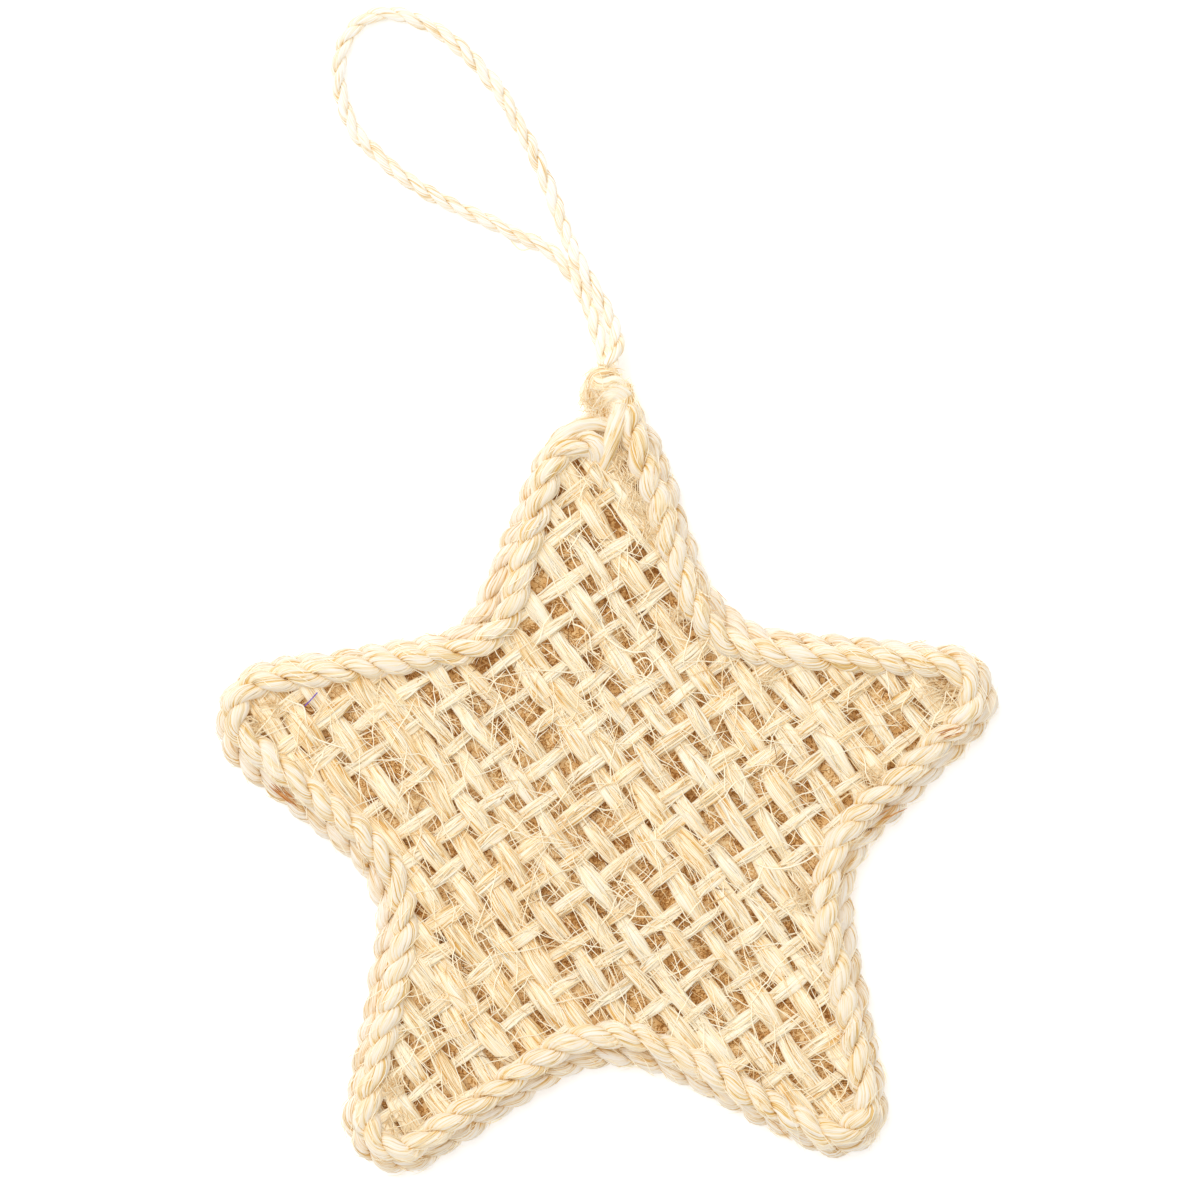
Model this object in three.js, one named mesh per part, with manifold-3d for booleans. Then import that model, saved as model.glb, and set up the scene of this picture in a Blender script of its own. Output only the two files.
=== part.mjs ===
// Fibre star ornament of undyed plant fibre, lying on its back with its hanging loop laid out above it.
// A flat padding of tow lies between two woven star panels. Each panel is edged with a two-ply rope,
// and a thin two-ply cord is knotted at the top point.
// Millimetres. +X runs to the right point, +Y to the top point, +Z out of the face. The floor is z = 0.

import * as THREE from "three";
import { mergeVertices } from "three/addons/utils/BufferGeometryUtils.js";
import Module from "manifold-3d";

const wasm = await Module();
wasm.setup();

// Overall size, and the gap kept between pieces that touch.
const STAR_WIDTH = 100;
const CLEARANCE = 0.3;

// Edge ropes: two plies in a Z twist. The lay is the length of one full turn of the plies.
const ROPE_DIAMETER = 3.6;
const ROPE_PLY_DIAMETER = 2;
const ROPE_LAY = 7;
const ROPE_STEPS_PER_LAY = 6;

// Front panel: warps slope down to the right, wefts slope up to the right and lie over the warps.
const STRAND_THICKNESS = 0.75;
const WARP_ANGLE = -53;
const WARP_SPACING = 3.7;
const WARP_WIDTH = 2.5;
const WEFT_ANGLE = 36;
const WEFT_SPACING = 4.2;
const WEFT_WIDTH = 2.1;
const FRONT_PANEL_SET_BACK = 1.5;

// Back panel and the padding between the two panels.
const BACK_PANEL_THICKNESS = 1;
const PADDING_MARGIN = 0.6;

// Hanging cord and its knot. The knot's sizes are width, height up the star, and depth off the floor.
const CORD_DIAMETER = 1.8;
const CORD_SIDES = 8;
const CORD_STEPS = 42;
const KNOT_SIZE = { width: 6, height: 5.2, depth: 5 };
const KNOT_MIDDLE = { x: 0, z: 3.6 };
const KNOT_SIDES = 16;
const KNOT_RINGS = 10;
const KNOT_GROOVE_DEPTH = 0.13;

// Segments in each round corner of a panel's outline, and samples that find the back rope's top.
const CORNER_SEGMENTS = 3;
const ROPE_OUTLINE_SAMPLES = 200;

// The corners of each rope's centre line, in hundredths of the star's width, anticlockwise from the
// top point. Points and notches alternate, and the third value is the radius the rope turns with.
const FRONT_ROPE_CORNERS = [
  [-1.9, 61.0, 6.5],
  [-13.3, 18.8, 8.6],
  [-53.0, 12.8, 4.2],
  [-23.7, -10.8, 15.5],
  [-32.8, -50.4, 4.2],
  [-0.2, -27.9, 14.5],
  [35.0, -47.1, 4.2],
  [25.9, -8.0, 15.0],
  [52.2, 15.8, 4.2],
  [12.7, 18.3, 12.0],
];
const BACK_ROPE_CORNERS = [
  [0.4, 61.5, 7.6],
  [-17.1, 19.1, 9.8],
  [-57.1, 13.1, 6.3],
  [-26.3, -11.5, 14.0],
  [-34.3, -53.2, 5.7],
  [0.2, -30.6, 16.9],
  [35.9, -48.8, 4.8],
  [28.6, -9.3, 13.0],
  [54.1, 16.1, 4.9],
  [13.2, 20.0, 13.5],
];

// The cord's route from the knot's right-hand exit, round the loop, to its left-hand exit. Each point is
// measured from the middle of the knot's top, with z from the floor. Near the knot the right-hand leg
// lies on the other one, and both come down to the floor.
const CORD_ROUTE = [
  [0.3, 0.3, 4.7],
  [1.0, 1.8, 4.0],
  [1.3, 3.7, 3.3],
  [0.7, 5.8, 2.7],
  [-0.2, 7.8, 2.6],
  [-1.2, 9.7, 2.65],
  [-2.2, 11.5, 2.75],
  [-3.4, 13.5, 2.6],
  [-4.4, 15.5, 1.9],
  [-5.4, 17.9, 1.25],
  [-6.4, 20.9, 0.95],
  [-7.7, 24.2, 0.92],
  [-9.3, 27.9, 0.92],
  [-11.1, 31.1, 0.92],
  [-13.3, 35.1, 0.92],
  [-15.5, 37.8, 0.92],
  [-17.8, 40.4, 0.92],
  [-20.6, 42.7, 0.92],
  [-23.7, 44.5, 0.92],
  [-27.0, 45.5, 0.92],
  [-30.1, 45.2, 0.92],
  [-32.6, 43.3, 0.92],
  [-34.0, 40.3, 0.92],
  [-34.2, 36.8, 0.92],
  [-33.4, 33.4, 0.92],
  [-31.7, 30.0, 0.92],
  [-29.1, 27.4, 0.92],
  [-26.0, 24.7, 0.92],
  [-22.2, 22.4, 0.92],
  [-18.2, 20.4, 0.92],
  [-14.3, 18.7, 0.92],
  [-10.4, 16.8, 0.92],
  [-7.3, 15.3, 0.92],
  [-5.2, 13.2, 0.92],
  [-3.7, 11.1, 0.92],
  [-2.5, 8.7, 1.05],
  [-1.6, 6.2, 1.35],
  [-0.9, 3.7, 1.8],
  [-0.4, 1.8, 2.2],
  [-0.3, 0.3, 2.55],
];

// Levels, from the floor up.
const ropeRadius = ROPE_DIAMETER / 2;
const backRopeZ = ropeRadius;
const frontRopeZ = backRopeZ + ROPE_DIAMETER + CLEARANCE;
const weftTopZ = frontRopeZ + ropeRadius - FRONT_PANEL_SET_BACK;
const weftBottomZ = weftTopZ - STRAND_THICKNESS;
const warpBottomZ = weftBottomZ - STRAND_THICKNESS;
const paddingBottomZ = BACK_PANEL_THICKNESS + CLEARANCE;
const paddingTopZ = warpBottomZ - CLEARANCE;

const leftOf = (direction) => new THREE.Vector2(-direction.y, direction.x);

// Turns a list of corners in hundredths of the star's width into corners in millimetres.
function sizedCorners(corners) {
  const unit = STAR_WIDTH / 100;
  return corners.map(([x, y, round]) => ({ at: new THREE.Vector2(x * unit, y * unit), round: round * unit }));
}

// The directions into and out of a corner. The turn is 1 at a point of the star and -1 at a notch.
function cornerTurn(corners, index) {
  const { at, round } = corners[index];
  const into = at.clone().sub(corners.at(index - 1).at).normalize();
  const outOf = corners[(index + 1) % corners.length].at.clone().sub(at).normalize();
  return { at, round, into, outOf, turn: Math.sign(into.cross(outOf)) };
}

// The corners of the outline that lies a given distance inside another.
function insetCorners(corners, distance) {
  return corners.map((_, index) => {
    const { at, round, into, outOf, turn } = cornerTurn(corners, index);
    const shift = leftOf(into).add(leftOf(outOf)).multiplyScalar(distance / (1 + into.dot(outOf)));
    return { at: at.clone().add(shift), round: round - turn * distance };
  });
}

// A closed outline of straight runs joined by round corners.
function roundedOutline(corners) {
  const outline = new THREE.Shape();
  corners.forEach((_, index) => {
    const { at, round, into, outOf, turn } = cornerTurn(corners, index);
    const reach = round * Math.tan(into.angleTo(outOf) / 2);
    const start = at.clone().addScaledVector(into, -reach);
    const end = at.clone().addScaledVector(outOf, reach);
    const centre = start.clone().addScaledVector(leftOf(into), turn * round);
    const from = start.sub(centre).angle();
    const to = end.sub(centre).angle();
    outline.absarc(centre.x, centre.y, round, from, to, turn < 0);
  });
  outline.closePath();
  return outline;
}

// A flat-sided star between two heights.
function starPlate(corners, bottomZ, topZ) {
  const geometry = new THREE.ExtrudeGeometry(roundedOutline(corners), {
    depth: topZ - bottomZ,
    bevelEnabled: false,
    curveSegments: CORNER_SEGMENTS,
  });
  return geometry.translate(0, 0, bottomZ);
}

// The outline of two plies side by side: a flat bar as thick as one ply, inside the rope's diameter.
function twoPlySection() {
  const halfThickness = ROPE_PLY_DIAMETER / 2;
  const halfWidth = Math.sqrt(ropeRadius ** 2 - halfThickness ** 2);
  return [
    [halfWidth, -halfThickness],
    [halfWidth, halfThickness],
    [-halfWidth, halfThickness],
    [-halfWidth, -halfThickness],
  ];
}

// A two-ply rope along a closed flat outline. The section turns once in every lay.
function ropeGeometry(outline, centreZ) {
  const section = twoPlySection();
  const turns = Math.round(outline.getLength() / ROPE_LAY);
  const steps = turns * ROPE_STEPS_PER_LAY;
  const positions = [];
  const index = [];
  for (let step = 0; step < steps; step += 1) {
    const along = step / steps;
    const centre = outline.getPoint(along);
    const side = leftOf(outline.getTangent(along));
    const twist = 2 * Math.PI * turns * along;
    const ring = step * section.length;
    const nextRing = ((step + 1) % steps) * section.length;
    section.forEach(([x, y], corner) => {
      const across = x * Math.cos(twist) - y * Math.sin(twist);
      const up = x * Math.sin(twist) + y * Math.cos(twist);
      positions.push(centre.x + side.x * across, centre.y + side.y * across, centreZ + up);
      const next = (corner + 1) % section.length;
      index.push(ring + corner, ring + next, nextRing + corner);
      index.push(ring + next, nextRing + next, nextRing + corner);
    });
  }
  const geometry = new THREE.BufferGeometry();
  geometry.setAttribute("position", new THREE.Float32BufferAttribute(positions, 3));
  geometry.setIndex(index);
  geometry.computeVertexNormals();
  return geometry;
}

function toSolid(geometry) {
  const bare = geometry.clone();
  bare.deleteAttribute("normal");
  bare.deleteAttribute("uv");
  const merged = mergeVertices(bare);
  const vertProperties = new Float32Array(merged.attributes.position.array);
  const triVerts = new Uint32Array(merged.index.array);
  return new wasm.Manifold(new wasm.Mesh({ numProp: 3, vertProperties, triVerts }));
}

function toGeometry(solid) {
  const mesh = solid.getMesh();
  const geometry = new THREE.BufferGeometry();
  geometry.setAttribute("position", new THREE.BufferAttribute(mesh.vertProperties, 3));
  geometry.setIndex(new THREE.BufferAttribute(mesh.triVerts, 1));
  geometry.computeVertexNormals();
  return geometry;
}

// One layer of parallel flat strands, wide enough to cover the whole star.
function strandLayer({ angle, spacing, width, bottomZ, topZ }) {
  const halfCount = Math.ceil(STAR_WIDTH / spacing);
  const strands = [];
  for (let place = -halfCount; place <= halfCount; place += 1) {
    const strand = new THREE.BoxGeometry(2 * STAR_WIDTH, width, 1);
    strand.translate(0, place * spacing, 0);
    strand.rotateZ(THREE.MathUtils.degToRad(angle));
    const { position } = strand.attributes;
    for (let corner = 0; corner < position.count; corner += 1) {
      position.setZ(corner, position.getZ(corner) > 0 ? topZ : bottomZ);
    }
    strands.push(toSolid(strand));
  }
  return strands;
}

// The front panel: two crossing layers of strands, trimmed to the inside of the front rope. The few
// strand ends that the trim cuts loose are caught under the rope, so they aren't part of the panel.
function frontPanelGeometry(corners) {
  const warps = strandLayer({
    angle: WARP_ANGLE, spacing: WARP_SPACING, width: WARP_WIDTH, bottomZ: warpBottomZ, topZ: weftBottomZ,
  });
  const wefts = strandLayer({
    angle: WEFT_ANGLE, spacing: WEFT_SPACING, width: WEFT_WIDTH, bottomZ: weftBottomZ, topZ: weftTopZ,
  });
  const trim = toSolid(starPlate(corners, 0, frontRopeZ + ROPE_DIAMETER));
  const woven = [...warps, ...wefts].reduce((cloth, strand) => cloth.add(strand));
  const panels = woven.intersect(trim).decompose();
  const largestFirst = panels.sort((one, other) => other.volume() - one.volume());
  return toGeometry(largestFirst[0]);
}

// The knot: a rounded lump with slanting grooves between the wraps of the cord.
function knotGeometry() {
  const { width, height, depth } = KNOT_SIZE;
  const geometry = new THREE.SphereGeometry(1, KNOT_SIDES, KNOT_RINGS);
  const { position } = geometry.attributes;
  const point = new THREE.Vector3();
  for (let corner = 0; corner < position.count; corner += 1) {
    point.fromBufferAttribute(position, corner);
    const around = Math.atan2(point.z, point.x);
    const fullness = 1 - point.y * point.y;
    const groove = KNOT_GROOVE_DEPTH * fullness * (1 - Math.cos(3 * around + 4 * point.y));
    point.multiplyScalar(1 - groove);
    position.setXYZ(corner, (point.x * width) / 2, (point.y * height) / 2, (point.z * depth) / 2);
  }
  geometry.deleteAttribute("normal");
  geometry.deleteAttribute("uv");
  const lump = mergeVertices(geometry);
  lump.computeVertexNormals();
  return lump;
}

// The hanging cord: a plain tube along its route.
function cordGeometry(knotTop) {
  const points = CORD_ROUTE.map(([x, y, z]) => new THREE.Vector3(knotTop.x + x, knotTop.y + y, z));
  const section = new THREE.Shape();
  for (let side = 0; side < CORD_SIDES; side += 1) {
    const angle = (2 * Math.PI * side) / CORD_SIDES;
    const x = (CORD_DIAMETER / 2) * Math.cos(angle);
    const y = (CORD_DIAMETER / 2) * Math.sin(angle);
    if (side === 0) {
      section.moveTo(x, y);
    } else {
      section.lineTo(x, y);
    }
  }
  section.closePath();
  return new THREE.ExtrudeGeometry(section, {
    steps: CORD_STEPS,
    bevelEnabled: false,
    extrudePath: new THREE.CatmullRomCurve3(points, false, "centripetal"),
  });
}

function piece(name, geometry, color) {
  const mesh = new THREE.Mesh(geometry, new THREE.MeshStandardMaterial({ color, roughness: 0.85, metalness: 0 }));
  mesh.name = name;
  return mesh;
}

const frontRopeCorners = sizedCorners(FRONT_ROPE_CORNERS);
const backRopeCorners = sizedCorners(BACK_ROPE_CORNERS);
const frontPanelCorners = insetCorners(frontRopeCorners, ropeRadius + CLEARANCE);
const backPanelCorners = insetCorners(backRopeCorners, ropeRadius + CLEARANCE);
const paddingCorners = insetCorners(frontPanelCorners, PADDING_MARGIN);
const backRopeOutline = roundedOutline(backRopeCorners);

// The knot sits on the outer edge of the back rope, over the star's top point.
const topOfBackRope = Math.max(...backRopeOutline.getSpacedPoints(ROPE_OUTLINE_SAMPLES).map((point) => point.y));
const knotBottom = topOfBackRope + ropeRadius + CLEARANCE;
const knotTop = new THREE.Vector2(KNOT_MIDDLE.x, knotBottom + KNOT_SIZE.height);

const star = new THREE.Group();
star.add(
  piece("back_rope", ropeGeometry(backRopeOutline, backRopeZ), 0xdcc9a3),
  piece("back_weave", starPlate(backPanelCorners, 0, BACK_PANEL_THICKNESS), 0xd8c096),
  piece("padding", starPlate(paddingCorners, paddingBottomZ, paddingTopZ), 0xa07a4c),
  piece("front_weave", frontPanelGeometry(frontPanelCorners), 0xe8d3a6),
  piece("front_rope", ropeGeometry(roundedOutline(frontRopeCorners), frontRopeZ), 0xead9b4),
);

const knot = piece("knot", knotGeometry(), 0xe3cd9f);
knot.position.set(knotTop.x, knotTop.y - KNOT_SIZE.height / 2, KNOT_MIDDLE.z);
star.add(knot, piece("hanging_cord", cordGeometry(knotTop), 0xf0dfbd));

export default star;
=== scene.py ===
"""Fibre star ornament: the looks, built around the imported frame.

Two star panels of open-woven plant fibre lie over a thin padding of tow. A two-ply rope edges each
panel, and a thin two-ply cord is knotted at the top point and laid out in a loop above the star.
The script is in metres. Sizes written in millimetres are turned into metres with MM.
"""

import logging
import math
import random
from dataclasses import dataclass, replace
from enum import Enum
from typing import Any, Mapping, Sequence

import bpy
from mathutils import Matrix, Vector, geometry, noise


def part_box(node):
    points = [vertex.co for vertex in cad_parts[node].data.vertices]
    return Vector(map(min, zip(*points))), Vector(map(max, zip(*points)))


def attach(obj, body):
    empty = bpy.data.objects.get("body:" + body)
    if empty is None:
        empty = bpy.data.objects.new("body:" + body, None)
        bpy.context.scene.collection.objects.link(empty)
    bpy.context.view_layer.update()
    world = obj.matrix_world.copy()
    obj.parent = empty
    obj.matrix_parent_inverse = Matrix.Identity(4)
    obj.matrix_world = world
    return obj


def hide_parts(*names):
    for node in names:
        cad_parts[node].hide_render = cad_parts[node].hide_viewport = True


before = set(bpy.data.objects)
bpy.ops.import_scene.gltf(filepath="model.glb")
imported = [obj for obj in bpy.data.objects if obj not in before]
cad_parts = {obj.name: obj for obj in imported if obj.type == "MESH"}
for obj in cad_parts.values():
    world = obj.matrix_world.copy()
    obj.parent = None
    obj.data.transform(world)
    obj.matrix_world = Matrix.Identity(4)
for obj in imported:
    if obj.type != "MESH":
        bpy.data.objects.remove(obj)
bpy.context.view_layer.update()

LOG = logging.getLogger("fibre_star")
MM = 0.001
BODY = "root"
UP = (0.0, 0.0, 1.0)
# Nearly all values of a noise lie in the first range, and most of them in the second.
NOISE_RANGE = (0.25, 0.75)
NOISE_CORE = (0.3, 0.7)

Colour = tuple[float, float, float]
Route = tuple[tuple[float, float, float], ...]
Points = list[Vector]
Inputs = Mapping[str | int, Any] | None
Lines = list[tuple[Vector, Vector]]
Stretch = list[tuple[Vector, float]]


class Slot(Enum):
    """The record's material slots."""

    ROPE = "rope"
    WEAVE = "weave"
    TOW = "tow"
    CORD = "cord"


class Field:
    """A node's output that Python's own operators combine with others in Math nodes."""

    def __init__(self, graph: "Graph", socket: bpy.types.NodeSocket) -> None:
        """Keeps the graph that the socket belongs to."""
        self.graph = graph
        self.socket = socket

    @property
    def is_vector(self) -> bool:
        """True for a vector or a colour."""
        return self.socket.type in {"VECTOR", "RGBA"}

    def __add__(self, other: Any) -> "Field":
        """The sum."""
        return self.graph.combine("ADD", self, other)

    def __sub__(self, other: Any) -> "Field":
        """The difference."""
        return self.graph.combine("SUBTRACT", self, other)

    def __mul__(self, other: Any) -> "Field":
        """The product, or a vector scaled by a number."""
        return self.graph.combine("MULTIPLY", self, other)

    def __truediv__(self, other: Any) -> "Field":
        """The quotient."""
        return self.graph.combine("DIVIDE", self, other)


class Graph:
    """Short calls that add nodes to a geometry or a shader tree."""

    def __init__(self, tree: bpy.types.NodeTree) -> None:
        """Keeps the tree that the nodes go into."""
        self.tree = tree

    def feed(self, socket: bpy.types.NodeSocket, value: Any) -> None:
        """Links a field to a socket, or sets a plain value on it.

        Args:
            socket: The input socket.
            value: A Field, or a value of the socket's own kind.
        """
        if isinstance(value, Field):
            self.tree.links.new(value.socket, socket)
        else:
            socket.default_value = value

    def node(self, kind: str, inputs: Inputs = None, **settings: Any) -> bpy.types.Node:
        """Adds a node.

        Args:
            kind: The node's type name.
            inputs: What goes into each input, by name or place.
            **settings: The node's own properties.

        Returns:
            The new node.
        """
        made = self.tree.nodes.new(kind)
        for name, setting in settings.items():
            setattr(made, name, setting)
        for key, value in (inputs or {}).items():
            self.feed(made.inputs[key], value)
        return made

    def out(self, kind: str, inputs: Inputs = None, output: str | int = 0, **settings: Any) -> Field:
        """Adds a node and gives the output of that name or place."""
        return Field(self, self.node(kind, inputs, **settings).outputs[output])

    def math(self, operation: str, *values: Any) -> Field:
        """A Math node of that operation on one to three values."""
        return self.out("ShaderNodeMath", dict(enumerate(values)), operation=operation)

    def vector(self, operation: str, *values: Any) -> Field:
        """A Vector Math node of that operation on one or two vectors."""
        output = "Value" if operation in {"DOT_PRODUCT", "LENGTH"} else "Vector"
        return self.out("ShaderNodeVectorMath", dict(enumerate(values)), output, operation=operation)

    def combine(self, operation: str, first: Field, second: Any) -> Field:
        """Adds, subtracts, multiplies or divides, on numbers or vectors.

        Args:
            operation: ADD, SUBTRACT, MULTIPLY or DIVIDE.
            first: The left side.
            second: The right side, a field or a plain value.

        Returns:
            The result.
        """
        if not first.is_vector:
            return self.math(operation, first, second)
        number = not second.is_vector if isinstance(second, Field) else isinstance(second, (float, int))
        if number and operation == "MULTIPLY":
            return self.out("ShaderNodeVectorMath", {0: first, "Scale": second}, operation="SCALE")
        if number and not isinstance(second, Field):
            second = (second, second, second)
        return self.vector(operation, first, second)

    def xyz(self, x: Any, y: Any, z: Any) -> Field:
        """A vector of three numbers."""
        return self.out("ShaderNodeCombineXYZ", {"X": x, "Y": y, "Z": z})

    def part(self, vector: Field, axis: str) -> Field:
        """One number of a vector, by its axis."""
        return self.out("ShaderNodeSeparateXYZ", {"Vector": vector}, axis)

    def noise(self, place: Field, scale: Any = 1.0, detail: float = 1.0, output: str = "Fac") -> Field:
        """A noise value from 0 to 1 at a place, or three of them as a colour."""
        return self.out("ShaderNodeTexNoise", {"Vector": place, "Scale": scale, "Detail": detail}, output)

    def remap(self, value: Field, low: Any, high: Any, to_low: Any = 0.0, to_high: Any = 1.0) -> Field:
        """Stretches the values between low and high to a new range, and clamps them to it."""
        limits = {"From Min": low, "From Max": high, "To Min": to_low, "To Max": to_high}
        return self.out("ShaderNodeMapRange", {"Value": value, **limits})

    def off_middle(self, value: Field, width: float) -> Field:
        """0 in thin lines where a noise passes its middle value, and 1 beside them."""
        return self.remap(self.math("ABSOLUTE", value - 0.5), 0.0, width)


class Recipe(Graph):
    """A Geometry Nodes tree with named inputs, which turns a mesh of points into a finished piece."""

    KINDS = {float: "NodeSocketFloat", int: "NodeSocketInt", bpy.types.Material: "NodeSocketMaterial"}

    def __init__(self, name: str, sizes: Mapping[str, type]) -> None:
        """Starts the tree.

        Args:
            name: The tree's name.
            sizes: The kind of each named input.
        """
        super().__init__(bpy.data.node_groups.new(name, "GeometryNodeTree"))
        interface = self.tree.interface
        interface.new_socket("Geometry", in_out="INPUT", socket_type="NodeSocketGeometry")
        for size, kind in {**sizes, "Material": bpy.types.Material}.items():
            interface.new_socket(size, in_out="INPUT", socket_type=self.KINDS[kind])
        interface.new_socket("Geometry", in_out="OUTPUT", socket_type="NodeSocketGeometry")
        self.given_node = self.tree.nodes.new("NodeGroupInput")

    def given(self, name: str) -> Field:
        """One of the tree's named inputs."""
        return Field(self, self.given_node.outputs[name])

    def stored(self, name: str) -> Field:
        """A number that the geometry holds under a name."""
        return self.out("GeometryNodeInputNamedAttribute", {"Name": name}, data_type="FLOAT")

    def stored_vector(self, name: str) -> Field:
        """A vector that the geometry holds under a name."""
        return self.out("GeometryNodeInputNamedAttribute", {"Name": name}, data_type="FLOAT_VECTOR")

    def store(self, shape: Field, name: str, value: Field) -> Field:
        """Stores a number or a vector at each point.

        Args:
            shape: The geometry.
            name: The name to store it under.
            value: The value.

        Returns:
            The geometry with it.
        """
        kind = "FLOAT_VECTOR" if value.is_vector else "FLOAT"
        inputs = {"Geometry": shape, "Name": name, "Value": value}
        return self.out("GeometryNodeStoreNamedAttribute", inputs, data_type=kind, domain="POINT")

    def place(self) -> Field:
        """Each point's position."""
        return self.out("GeometryNodeInputPosition")

    def on_spline(self, output: str) -> Field:
        """Where a point lies on its curve: its Factor or its Length."""
        return self.out("GeometryNodeSplineParameter", output=output)

    def moved(self, shape: Field, offset: Field) -> Field:
        """The geometry with each point moved by an offset."""
        return self.out("GeometryNodeSetPosition", {"Geometry": shape, "Offset": offset})

    def resampled(self, line: Field, count: Field | int) -> Field:
        """The curve with that number of evenly spaced points."""
        return self.out("GeometryNodeResampleCurve", {"Curve": line, "Count": count}, mode="COUNT")

    def curves(self) -> Field:
        """The lines of the given mesh, as curves."""
        return self.out("GeometryNodeMeshToCurve", {"Mesh": self.given("Geometry")})

    def stepped_curves(self) -> Field:
        """The given mesh's lines with a point at each Step, and with their heading stored."""
        inputs = {"Curve": self.curves(), "Length": self.given("Step")}
        return self.headed(self.out("GeometryNodeResampleCurve", inputs, mode="LENGTH"))

    def headed(self, line: Field) -> Field:
        """The curve with its own direction stored at each point."""
        return self.store(line, "heading", self.out("GeometryNodeInputTangent"))

    def copies(self, line: Field, amount: Any) -> tuple[Field, Field]:
        """Copies each curve.

        Args:
            line: The curve.
            amount: The number of copies.

        Returns:
            The copies, and each one's number from 0.
        """
        inputs = {"Geometry": line, "Amount": amount}
        made = self.node("GeometryNodeDuplicateElements", inputs, domain="SPLINE")
        return Field(self, made.outputs["Geometry"]), Field(self, made.outputs["Duplicate Index"])

    def upright(self, line: Field) -> Field:
        """The curve with its section standing upright."""
        return self.out("GeometryNodeSetCurveNormal", {"Curve": line}, mode="Z_UP")

    def tilted(self, line: Field, tilt: Field) -> Field:
        """The curve with its section turned by an angle."""
        return self.out("GeometryNodeSetCurveTilt", {"Curve": line, "Tilt": tilt})

    def random(self, low: Any, high: Any, seed: Any, identity: Field | None = None) -> Field:
        """A random number for each element.

        Args:
            low: The lowest value.
            high: The highest value.
            seed: The seed.
            identity: The number that the draw hangs on. Left out, it is the element's index.

        Returns:
            The random value.
        """
        made = self.node("FunctionNodeRandomValue", data_type="FLOAT")
        for key, value in {"Min": low, "Max": high, "Seed": seed, "ID": identity}.items():
            sockets = [socket for socket in made.inputs if socket.name == key and socket.enabled]
            if value is not None:
                self.feed(sockets[0], value)
        return Field(self, next(socket for socket in made.outputs if socket.enabled))

    def lay_out(self, result: Field, is_smooth: bool = True) -> None:
        """Ends the tree: the result is real geometry, pressed flat where it would reach under the floor.

        Args:
            result: The finished geometry.
            is_smooth: Whether it is shaded smooth.
        """
        above = self.vector("MAXIMUM", self.place(), (-1.0, -1.0, 0.0))
        pressed = self.out("GeometryNodeSetPosition", {"Geometry": result, "Position": above})
        smooth = self.out("GeometryNodeSetShadeSmooth", {"Geometry": pressed, "Shade Smooth": is_smooth})
        real = self.out("GeometryNodeRealizeInstances", {"Geometry": smooth})
        dressed = self.out("GeometryNodeSetMaterial", {"Geometry": real, "Material": self.given("Material")})
        self.node("NodeGroupOutput", {"Geometry": dressed})

    def make(self, name: str, source: bpy.types.Mesh, sizes: Mapping[str, Any]) -> bpy.types.Object:
        """Runs the tree on a mesh and keeps the result as a plain mesh.

        Args:
            name: The new piece's name.
            source: The mesh that goes into the tree.
            sizes: The value of each named input.

        Returns:
            The piece, with no modifier left.
        """
        piece = bpy.data.objects.new(name, source)
        bpy.context.scene.collection.objects.link(piece)
        modifier = piece.modifiers.new(self.tree.name, "NODES")
        modifier.node_group = self.tree
        for item in self.tree.interface.items_tree:
            if item.in_out == "INPUT" and item.name in sizes:
                modifier[item.identifier] = sizes[item.name]
        depsgraph = bpy.context.evaluated_depsgraph_get()
        evaluated = piece.evaluated_get(depsgraph)
        mesh = bpy.data.meshes.new_from_object(evaluated, preserve_all_data_layers=True, depsgraph=depsgraph)
        mesh.name = name
        piece.modifiers.clear()
        piece.data = mesh
        return piece


@dataclass
class Thread:
    """The line that one strand or rope follows, with its width at each point and its shade."""

    points: Points
    widths: list[float]
    tone: float

    @classmethod
    def even(cls, points: Points, width: float, tone: float) -> "Thread":
        """A thread of one width."""
        return cls(points, [width] * len(points), tone)


def thread_mesh(name: str, threads: Sequence[Thread]) -> bpy.types.Mesh:
    """Puts threads into one mesh of points and edges.

    Args:
        name: The mesh's name.
        threads: The threads, each of at least two points.

    Returns:
        The mesh, with each point's width and tone as attributes.
    """
    points: list[Vector] = []
    edges: list[tuple[int, int]] = []
    widths: list[float] = []
    tones: list[float] = []
    for thread in threads:
        first = len(points)
        count = len(thread.points)
        points += thread.points
        widths += thread.widths
        tones += [thread.tone] * count
        edges += [(first + place, first + place + 1) for place in range(count - 1)]
    mesh = bpy.data.meshes.new(name)
    mesh.from_pydata(points, edges, [])
    mesh.attributes.new("width", "FLOAT", "POINT").data.foreach_set("value", widths)
    mesh.attributes.new("tone", "FLOAT", "POINT").data.foreach_set("value", tones)
    return mesh


def length_of(points: Points) -> float:
    """The length of the line through the points."""
    return sum((end - start).length for start, end in zip(points, points[1:]))


def in_metres(route: Route) -> Points:
    """The points of a route written in millimetres."""
    return [Vector(point) * MM for point in route]


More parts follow.
